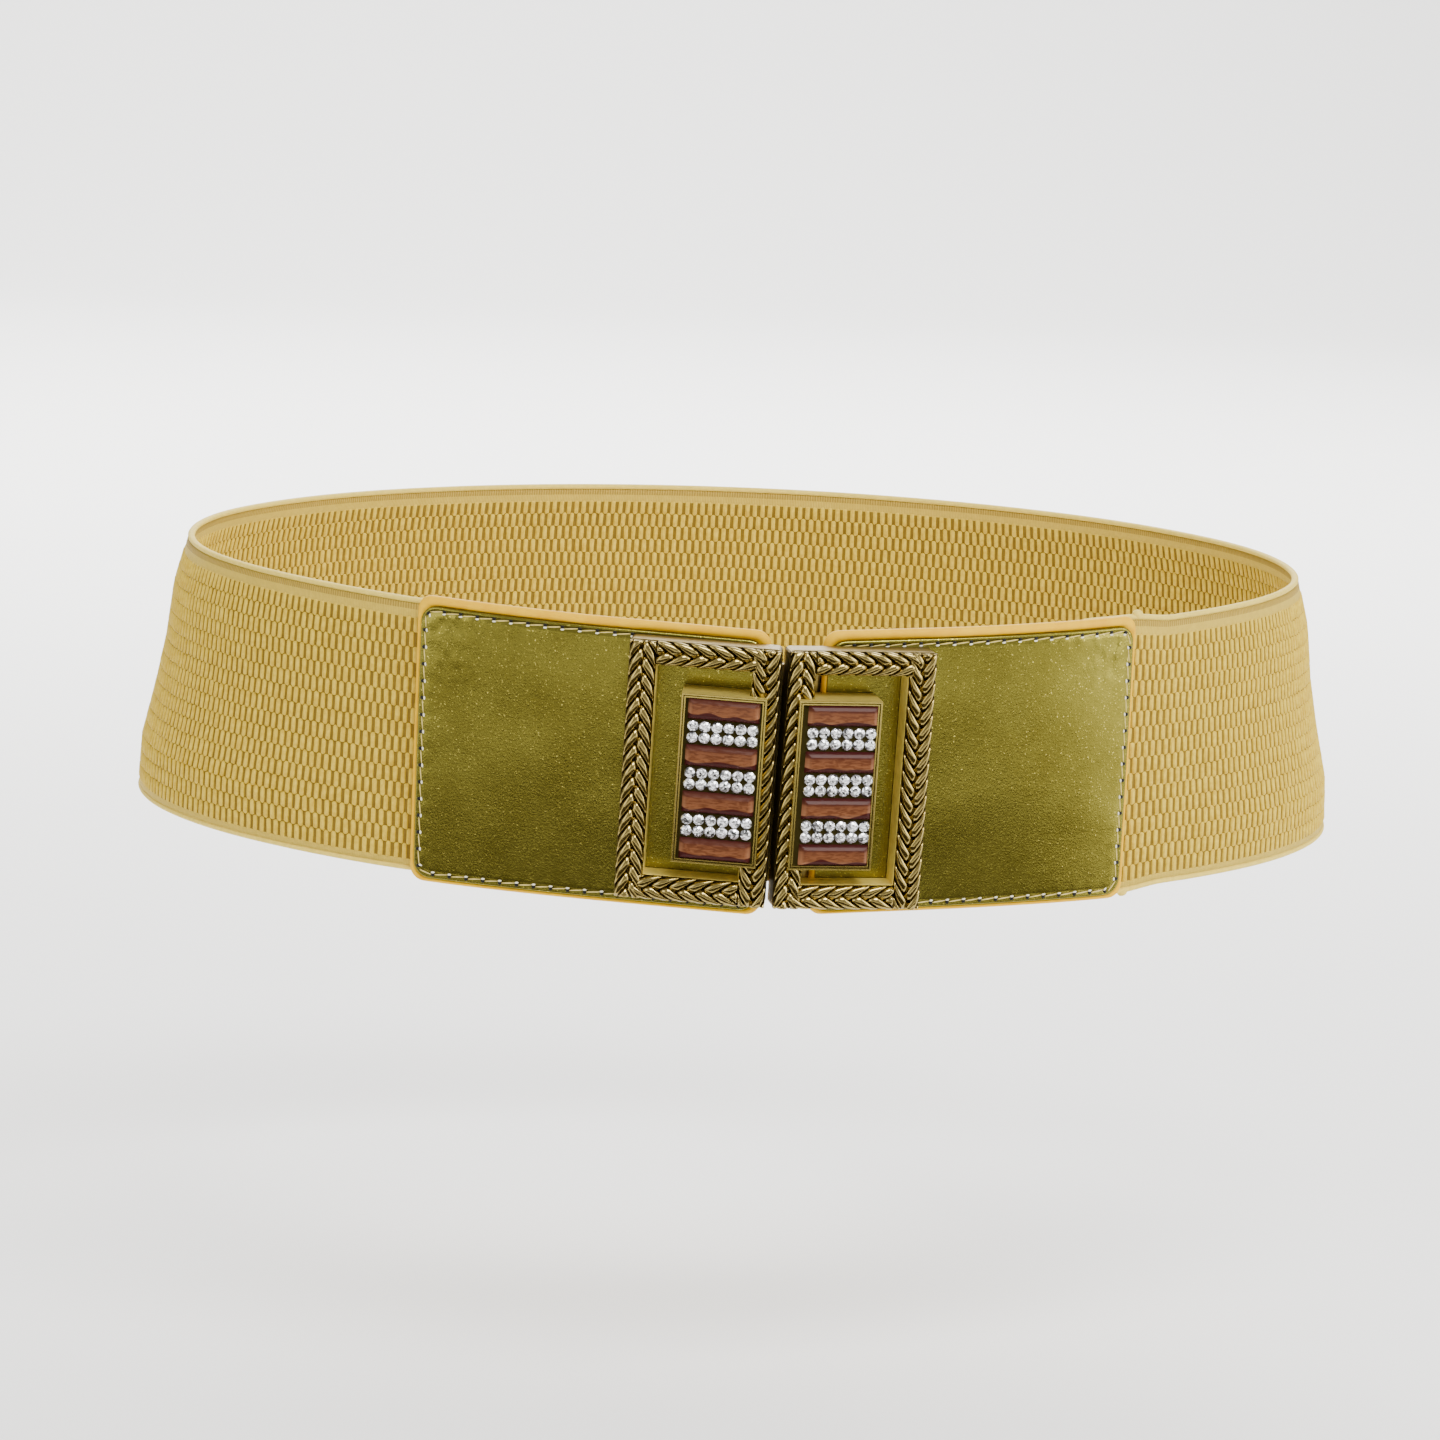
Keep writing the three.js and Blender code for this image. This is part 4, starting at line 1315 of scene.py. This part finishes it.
def braid_form(buckle, length, width):
    """Two staggered rows of slanted strands along a bar, cut off level with the bar's ends."""
    count = round(length / buckle.pitch)
    pitch = length / count
    bm = bmesh.new()
    for row in (-1, 1):
        strand = strand_form(row, width, pitch, buckle.rise)
        for index in range(-1, count + 1):
            along = (index + 0.5 - row * STRAND_STAGGER) * pitch - length / 2
            stamp(bm, strand, Matrix.Translation((0, along, buckle.base)))
    for end in (-1, 1):
        cut = bmesh.ops.bisect_plane(
            bm, geom=bm.verts[:] + bm.edges[:] + bm.faces[:], dist=SAME_CORNER,
            plane_co=(0, end * length / 2, 0), plane_no=(0, end, 0), clear_outer=True)["geom_cut"]
        bmesh.ops.edgeloop_fill(bm, edges=only(bmesh.types.BMEdge, cut))
    bmesh.ops.recalc_face_normals(bm, faces=bm.faces)
    mark_relief(bm, lambda co: (co.z - buckle.base) / buckle.rise)
    smooth(bm)
    return mesh_from("braid", bm)


def mark_relief(bm, relief_at):
    """Gives each vertex its relief, from 0 where shade is painted into the recesses to 1 on unshaded metal.
    """
    layer = bm.verts.layers.float.new("relief")
    for vert in bm.verts:
        vert[layer] = min(max(relief_at(vert.co), 0), 1)


# Relief of the frame's sides, which are painted with part of the recess shade, and how near to its outline
# and its top a place counts as its side
SIDE_RELIEF = 0.33
SIDE_BORDER = 0.3 * MM
SIDE_DEPTH = 0.2 * MM


class BELT_OT_frames(bpy.types.Operator):
    """Cast frames with a braided border"""
    bl_idname = "belt.frames"
    bl_label = "Buckle Frames"

    def execute(self, context):
        buckle = context.scene.belt_frame
        metal = cast_gold_material("antique_gold", buckle.metal_colour, buckle.recess_shade_colour, 0.15)
        # Painted light: the inner walls get a lighter copy of the gold
        satin = plain_metal_material("lit_satin_gold", buckle.lit_wall_colour, 0.38, 0.5)
        rim_x = buckle.width / 2 - SIDE_BORDER
        rim_y = buckle.height / 2 - SIDE_BORDER

        def relief_at(co):
            at_side = abs(co.x) > rim_x or abs(co.y) > rim_y or co.z < buckle.base - SIDE_DEPTH
            return SIDE_RELIEF if at_side else 0

        shell = frame_body(buckle)
        mark_relief(shell, relief_at)
        body = mesh_from("frame_body", shell)
        for side_name, side in SIDES:
            bm = bmesh.new()
            stamp(bm, body, Matrix())
            for length, width, turn, x, y in self.bars(buckle):
                place = Matrix.Translation((x, y, 0)) @ Matrix.Rotation(math.radians(turn), 4, "Z")
                stamp(bm, braid_form(buckle, length, width), place)
            bmesh.ops.transform(bm, matrix=buckle_seat(side), verts=bm.verts)
            add_piece(f"braided_frame_{side_name}", bm, [metal, satin], f"frame_{side_name}")
        return {"FINISHED"}

    @staticmethod
    def bars(buckle):
        """Length, width, turn in degrees and place of the four bars' braids."""
        side_length = buckle.height - 2 * FIT_GAP
        end_length = buckle.width - 2 * buckle.side_bar + buckle.run_on
        side_x = (buckle.width - buckle.side_bar) / 2
        end_y = (buckle.height - buckle.end_bar) / 2
        return (
            (side_length, buckle.side_bar, 0, -side_x, 0),
            (end_length, buckle.end_bar, -90, buckle.run_on / 2, end_y),
            (side_length, buckle.side_bar, 180, side_x, 0),
            (end_length, buckle.end_bar, 90, -buckle.run_on / 2, -end_y))


# Stone trays and stones

def tray_bottom(buckle):
    return buckle.base + FIT_GAP


def tray_floor(buckle, stones):
    return tray_bottom(buckle) + stones.plate - stones.rim_rise


def bay_step(stones):
    """Distance between rose stones up a tray."""
    bands = (stones.rose_count - 1) * 2 * stones.round_pitch
    bay = (stones.tray_height - 2 * stones.seat_rim - bands) / stones.rose_count
    return bay + 2 * stones.round_pitch


def rose_height(stones, index):
    return ((stones.rose_count - 1) / 2 - index) * bay_step(stones)


def field_shift(stones, side):
    return stones.left_field_shift if side < 0 else stones.right_field_shift


# How far a round stone's foot stands under the floor
CRYSTAL_SUNK = 0.5 * MM
# Rings above the foot: corners, share of the radius, height as a share of the crown, and turn
CRYSTAL_RINGS = ((16, 1.0, 0.35, 0), (8, 0.82, 0.7, 0), (8, 0.52, 1.0, math.pi / 8))


def crystal_form(stones):
    """Round brilliant: girdle, kite and star facets and an eight-sided table."""
    bm = bmesh.new()

    def add_ring(corners, share, level, turn=0):
        place = Matrix.Translation((0, 0, level)) @ Matrix.Rotation(turn, 4, "Z")
        bmesh.ops.create_circle(bm, segments=corners, radius=share * stones.round_size / 2, matrix=place)

    add_ring(16, 1, -CRYSTAL_SUNK)
    for corners, share, level, turn in CRYSTAL_RINGS:
        add_ring(corners, share, level * stones.round_crown, turn)
    bmesh.ops.convex_hull(bm, input=bm.verts)
    bmesh.ops.dissolve_limit(bm, angle_limit=math.radians(2), verts=bm.verts, edges=bm.edges)
    bmesh.ops.recalc_face_normals(bm, faces=bm.faces)
    return mesh_from("crystal", bm)


# Steps of a tray's rim, inwards: width as a share of the rim's, lift as a share of its height
RIM_STEPS = ((0.36, 0), (0.07, -0.5), (0.1, 0), (0.07, 0.35), (0.33, 0), (0.07, -0.85))
STONE_COLUMNS = 6
# Share of the rim's height above which the rim is left unshaded; lower down the tray is painted with shade
BRIGHT_RIM = 0.7
# How much round stones turn and tilt from their straight place
STONE_TURN = 2
STONE_TILT = 0.16


def tray_body(side, buckle, stones):
    """Plate with a twice stepped rim on the box that stands in the window."""
    bm = bmesh.new()
    bottom = tray_bottom(buckle)
    top_level = bottom + stones.plate
    bar_side = buckle.width / 2 - buckle.side_bar - stones.tray_shift - FIT_GAP
    for vert in bmesh.ops.create_grid(bm, x_segments=2, y_segments=1, size=0.5)["verts"]:
        middle_line = abs(vert.co.x) < SAME_PLACE
        x = -side * bar_side if middle_line else vert.co.x * stones.tray_width
        vert.co = (x, vert.co.y * stones.tray_height, bottom)
    foot = max(bm.faces, key=lambda face: side * face.calc_center_median().x)
    extrude_faces(bm, bm.faces[:], stones.plate, keep=True)
    extrude_faces(bm, [foot], WINDOW_FLOOR + FIT_GAP - FRAME_SEAT - bottom)
    bmesh.ops.recalc_face_normals(bm, faces=bm.faces)
    sharp = [
        edge for edge in bm.edges
        if len(edge.link_faces) == 2 and edge.calc_face_angle(0) > math.radians(60)
        and at_level(edge.verts, top_level)
    ]
    bevel_edges(bm, sharp, 0.12 * MM, 2)
    top = [face for face in bm.faces if at_level(face.verts, top_level)]
    for width, lift in RIM_STEPS:
        bmesh.ops.inset_region(bm, faces=top, thickness=width * stones.rim, depth=lift * stones.rim_rise,
                               use_even_offset=True)
    end = stones.tray_height / 2 - 0.05 * MM
    for face in bm.faces:
        if abs(face.calc_center_median().y) > end and abs(face.normal.z) < 0.3:
            face.material_index = 2
    return bm


class BELT_OT_trays(bpy.types.Operator):
    """Rimmed trays with their bands of round stones"""
    bl_idname = "belt.trays"
    bl_label = "Stone Trays"

    def execute(self, context):
        buckle = context.scene.belt_frame
        stones = context.scene.belt_stones
        materials = (
            # Painted shade: the tray's floor and lower rim get a near-black copy of its gold
            cast_gold_material("polished_gold", stones.tray_colour, darker(stones.tray_colour, 0.12), 0.18),
            crystal_material(),
            # Painted light: the tray's end walls get a copy of the lit wall gold, lighter than the tray
            plain_metal_material("lit_tray_wall_gold", darker(buckle.lit_wall_colour, 0.62), 0.38, 0.5))
        noise.seed_set(UNEVEN_SEED)
        floor = tray_floor(buckle, stones)
        crest = floor + BRIGHT_RIM * stones.rim_rise
        rim_x = stones.tray_width / 2 - 0.2 * MM
        rim_y = stones.tray_height / 2 - 0.2 * MM
        crystal = crystal_form(stones)
        for side_name, side in SIDES:
            shell = tray_body(side, buckle, stones)
            mark_relief(shell, lambda co: co.z > crest or abs(co.x) > rim_x or abs(co.y) > rim_y)
            bm = bmesh.new()
            stamp(bm, mesh_from("tray_body", shell), Matrix())
            for place in self.round_places(stones, side, floor):
                stamp(bm, crystal, place, 1)
            bmesh.ops.transform(bm, matrix=tray_seat(side, stones), verts=bm.verts)
            add_piece(f"stone_tray_{side_name}", bm, materials, f"tray_{side_name}")
        return {"FINISHED"}

    @staticmethod
    def round_places(stones, side, floor):
        """Places of the round stones, in two rows between each two rose stones."""
        for band in range(stones.rose_count - 1):
            middle = rose_height(stones, band) - bay_step(stones) / 2
            for row in (-0.5, 0.5):
                for column in range(STONE_COLUMNS):
                    offset = (column - (STONE_COLUMNS - 1) / 2) * stones.rose_length / STONE_COLUMNS
                    turn = noise.noise(Vector((column * 3.1, band * 5.7 + row, side))) * STONE_TURN
                    tilt = noise.noise_vector(Vector((column * 2.3, band * 4.1 + row, side * 7))) * STONE_TILT
                    place = Matrix.Translation(
                        (field_shift(stones, side) + offset, middle + row * stones.round_pitch, floor))
                    place @= Matrix.Rotation(tilt.x, 4, "X") @ Matrix.Rotation(tilt.y, 4, "Y")
                    yield place @ Matrix.Rotation(turn, 4, "Z")


# Steps of a long stone's cut from its foot: inset as a share of its width, height as a share of its depth
ROSE_STEPS = ((0.12, 0.0), (0.0, 0.17), (0.0, 0.34), (0.1, 0.74), (0.25, 1.0))
# Step of the pattern from stone to stone and its lift across the stones of a tray
ROSE_PATTERN = {-1: (4.1, 0), 1: (7.3, 0.13)}
# Share of a stone's half length at which its painted lighter end starts, and the share over which it grows
ROSE_END = 0.84
ROSE_END_RUN = 0.12


class BELT_OT_rose_stones(bpy.types.Operator):
    """Long step-cut rose stones"""
    bl_idname = "belt.rose_stones"
    bl_label = "Rose Stones"

    def execute(self, context):
        stones = context.scene.belt_stones
        glass = rose_material(stones)
        seat = tray_floor(context.scene.belt_frame, stones) - stones.rose_seat + FIT_GAP
        for side_name, side in SIDES:
            step, lift = ROSE_PATTERN[side]
            for index in range(stones.rose_count):
                bm = self.cut(stones, (index + 1) * step, lift)
                place = Matrix.Translation((field_shift(stones, side), rose_height(stones, index), seat))
                bmesh.ops.transform(bm, matrix=tray_seat(side, stones) @ place, verts=bm.verts)
                end = f"{side_name}_{index + 1}"
                add_piece(f"rose_cut_{end}", bm, [glass], f"rose_stone_{end}")
        return {"FINISHED"}

    @staticmethod
    def cut(stones, shift, lift):
        """Step cut with crisp, slightly rounded facets; the UV map is shifted for each stone."""
        bm = bmesh.new()
        bmesh.ops.create_grid(bm, x_segments=1, y_segments=1, size=0.5)
        face = bm.faces[:][0]
        for index, (inset, level) in enumerate(ROSE_STEPS):
            if index:
                face = extrude_faces(bm, [face], 0, keep=index == 1)[0]
            inset *= 2 * stones.rose_width
            size_face(face, stones.rose_length - inset, stones.rose_width - inset)
            for vert in face.verts:
                vert.co.z = level * stones.rose_depth
        bmesh.ops.recalc_face_normals(bm, faces=bm.faces)
        bevel_edges(bm, bm.edges[:], 0.07 * MM, 1)
        half_length = stones.rose_length / 2
        half_width = stones.rose_width / 2
        ends = bm.verts.layers.float.new("end")
        for vert in bm.verts:
            vert[ends] = min(max((abs(vert.co.x) / half_length - ROSE_END) / ROSE_END_RUN, 0), 1)
        layer = bm.loops.layers.uv.new("cut")
        for item in bm.faces:
            for loop in item.loops:
                x, y, _ = loop.vert.co
                loop[layer].uv = (3 * x / half_length + shift, y / half_width + lift)
        return bm


class BELT_OT_clasp_hook(bpy.types.Operator):
    """Finish of the hook plate behind the seam"""
    bl_idname = "belt.clasp_hook"
    bl_label = "Clasp Hook"

    def execute(self, context):
        metal = context.scene.belt_frame.metal_colour
        hook = frame["nodes"]["clasp_hook"]
        hook.data.materials.clear()
        # Painted shade: the frames' gold painted darker for the hook, which stands in the seam's dark gap
        hook.data.materials.append(plain_metal_material("hook_gold", darker(metal, 0.8), 0.3))
        return {"FINISHED"}


# Camera, lights and floor

CAMERA_AZIMUTH = math.radians(-4.8738)
CAMERA_ELEVATION = math.radians(10.0952)
CAMERA_ROLL = math.radians(2.5921)
CAMERA_SIDE = -5.0715 * MM
CAMERA_RISE = -11.7621 * MM
CAMERA_DISTANCE = 1489.14 * MM


def place_camera(stage):
    back = Vector((
        math.sin(CAMERA_AZIMUTH) * math.cos(CAMERA_ELEVATION),
        -math.cos(CAMERA_AZIMUTH) * math.cos(CAMERA_ELEVATION),
        math.sin(CAMERA_ELEVATION)))
    right = Vector((math.cos(CAMERA_AZIMUTH), math.sin(CAMERA_AZIMUTH), 0))
    up = back.cross(right)
    centre = CAMERA_SIDE * right + CAMERA_RISE * up + CAMERA_DISTANCE * back
    rolled_right = math.cos(CAMERA_ROLL) * right + math.sin(CAMERA_ROLL) * up
    rolled_up = -math.sin(CAMERA_ROLL) * right + math.cos(CAMERA_ROLL) * up
    data = bpy.data.cameras.new("front_camera")
    data.sensor_width = 36
    data.lens = stage.focal_length
    camera = add_object("front_camera", data)
    turn = Matrix((rolled_right, rolled_up, back)).transposed()
    camera.matrix_world = Matrix.Translation(centre) @ turn.to_4x4()
    bpy.context.scene.camera = camera


def add_softbox(name, spot, size, power, aim=(0, 0, 0)):
    data = bpy.data.lights.new(name, "AREA")
    data.shape = "RECTANGLE"
    data.size, data.size_y = size
    data.energy = power
    light = add_object(name, data)
    turn = (Vector(aim) - Vector(spot)).to_track_quat("-Z", "Y").to_matrix().to_4x4()
    light.matrix_world = Matrix.Translation(spot) @ turn


def matt_material(name, light, dark, scale, contrast):
    material, tree, shader = new_material(name, roughness=0.9, specular_ior_level=0.1)
    paint(tree, shader, mottle(tree, light, dark, scale, contrast)["Color"])
    return material


class BELT_OT_stage(bpy.types.Operator):
    """Camera, pale floor with a curved backdrop, and soft studio light"""
    bl_idname = "belt.stage"
    bl_label = "Stage"

    # Half size of the floor, radius of the curve at its rear and height of the wall above it
    FLOOR_HALF = 3
    CURVE_RADIUS = 0.9
    WALL_HEIGHT = 3
    # Place of the dark card over the floor, and its half length and half depth
    CARD_PLACE = Vector((-0.12, -0.46, 0.005))
    CARD_HALF = (0.7, 0.26)

    def execute(self, context):
        stage = context.scene.belt_stage
        kept = set(frame["nodes"].values()) | set(frame["bodies"].values())
        for item in list(bpy.data.objects):
            if item not in kept:
                bpy.data.objects.remove(item)
        place_camera(stage)
        self.sweep(stage)
        self.dark_card(stage)
        add_softbox("key_softbox", (0.35, -1.15, 1.45), (1.2, 0.6), stage.key_power)
        add_softbox("left_softbox", (-1.5, -0.9, 0.5), (0.9, 1.2), 0.7 * stage.fill_power)
        add_softbox("right_softbox", (1.5, -0.7, 0.5), (0.9, 1.2), 1.5 * stage.fill_power)
        add_softbox("back_softbox", (0, 1.0, 1.5), (1.6, 0.8), stage.fill_power)
        backdrop = (0, 2.1, stage.floor_level)
        add_softbox("floor_softbox", (0, 2.0, 1.3), (2.6, 1.6), stage.floor_power, backdrop)
        world = bpy.data.worlds.new("studio")
        world.use_nodes = True
        sky = next(item for item in world.node_tree.nodes if item.type == "BACKGROUND")
        sky.inputs["Color"].default_value = opaque((1, 1, 1))
        sky.inputs["Strength"].default_value = stage.sky_strength
        context.scene.world = world
        return {"FINISHED"}

    def dark_card(self, stage):
        """Card on the floor before the belt that shows only as a dark reflection in its metal."""
        bm = bmesh.new()
        place = Matrix.Translation(self.CARD_PLACE + Vector((0, 0, stage.floor_level)))
        place @= Matrix.Diagonal((*self.CARD_HALF, 1, 1))
        bmesh.ops.create_grid(bm, x_segments=1, y_segments=1, size=1, matrix=place)
        colour = stage.card_colour
        finish = matt_material("dark_card", colour, darker(colour, 0.5), 8.0, 0.4)
        card = add_mesh("dark_card", bm, finish)
        for ray in ("camera", "diffuse", "transmission", "shadow"):
            setattr(card, "visible_" + ray, False)

    def sweep(self, stage):
        """Floor that curves up into a backdrop."""
        bm = bmesh.new()
        bmesh.ops.create_grid(bm, x_segments=1, y_segments=1, size=self.FLOOR_HALF)
        rear = [edge for edge in bm.edges if all(vert.co.y > 0 for vert in edge.verts)]
        curve = bmesh.ops.spin(
            bm, geom=rear, cent=(0, self.FLOOR_HALF, self.CURVE_RADIUS), axis=(1, 0, 0), dvec=(0, 0, 0),
            angle=math.pi / 2, steps=16, use_duplicate=False)["geom_last"]
        wall = bmesh.ops.extrude_edge_only(bm, edges=only(bmesh.types.BMEdge, curve))["geom"]
        bmesh.ops.translate(bm, verts=only(bmesh.types.BMVert, wall), vec=(0, 0, self.WALL_HEIGHT))
        bmesh.ops.translate(bm, verts=bm.verts, vec=(0, 0, stage.floor_level))
        bmesh.ops.recalc_face_normals(bm, faces=bm.faces)
        smooth(bm)
        colour = stage.floor_colour
        finish = matt_material("pale_floor", colour, darker(colour, 0.985), 3.0, 0.5)
        add_mesh("studio_floor", bm, finish)


OPERATORS = (
    BELT_OT_stage,
    BELT_OT_elastic_band,
    BELT_OT_elastic_ribs,
    BELT_OT_panel_backings,
    BELT_OT_panel_faces,
    BELT_OT_stitching,
    BELT_OT_frames,
    BELT_OT_trays,
    BELT_OT_rose_stones,
    BELT_OT_clasp_hook,
)

SETTINGS = (
    ("belt_elastic", ElasticSettings),
    ("belt_panel", PanelSettings),
    ("belt_frame", FrameSettings),
    ("belt_stones", StoneSettings),
    ("belt_stage", StageSettings),
)


class BELT_PT_pieces(bpy.types.Panel):
    """Lists the operators that make the belt"""
    bl_idname = "BELT_PT_pieces"
    bl_label = "Belt"
    bl_space_type = "VIEW_3D"
    bl_region_type = "UI"
    bl_category = "Belt"

    def draw(self, context):
        for operator in OPERATORS:
            self.layout.operator(operator.bl_idname)


def register():
    for name, settings in SETTINGS:
        bpy.utils.register_class(settings)
        setattr(bpy.types.Scene, name, PointerProperty(type=settings))
    for operator in OPERATORS:
        bpy.utils.register_class(operator)
    bpy.utils.register_class(BELT_PT_pieces)


def unregister():
    bpy.utils.unregister_class(BELT_PT_pieces)
    for operator in reversed(OPERATORS):
        bpy.utils.unregister_class(operator)
    for name, settings in reversed(SETTINGS):
        delattr(bpy.types.Scene, name)
        bpy.utils.unregister_class(settings)


def main():
    register()
    for operator in OPERATORS:
        family, name = operator.bl_idname.split(".")
        getattr(getattr(bpy.ops, family), name)()


if __name__ == "__main__":
    main()
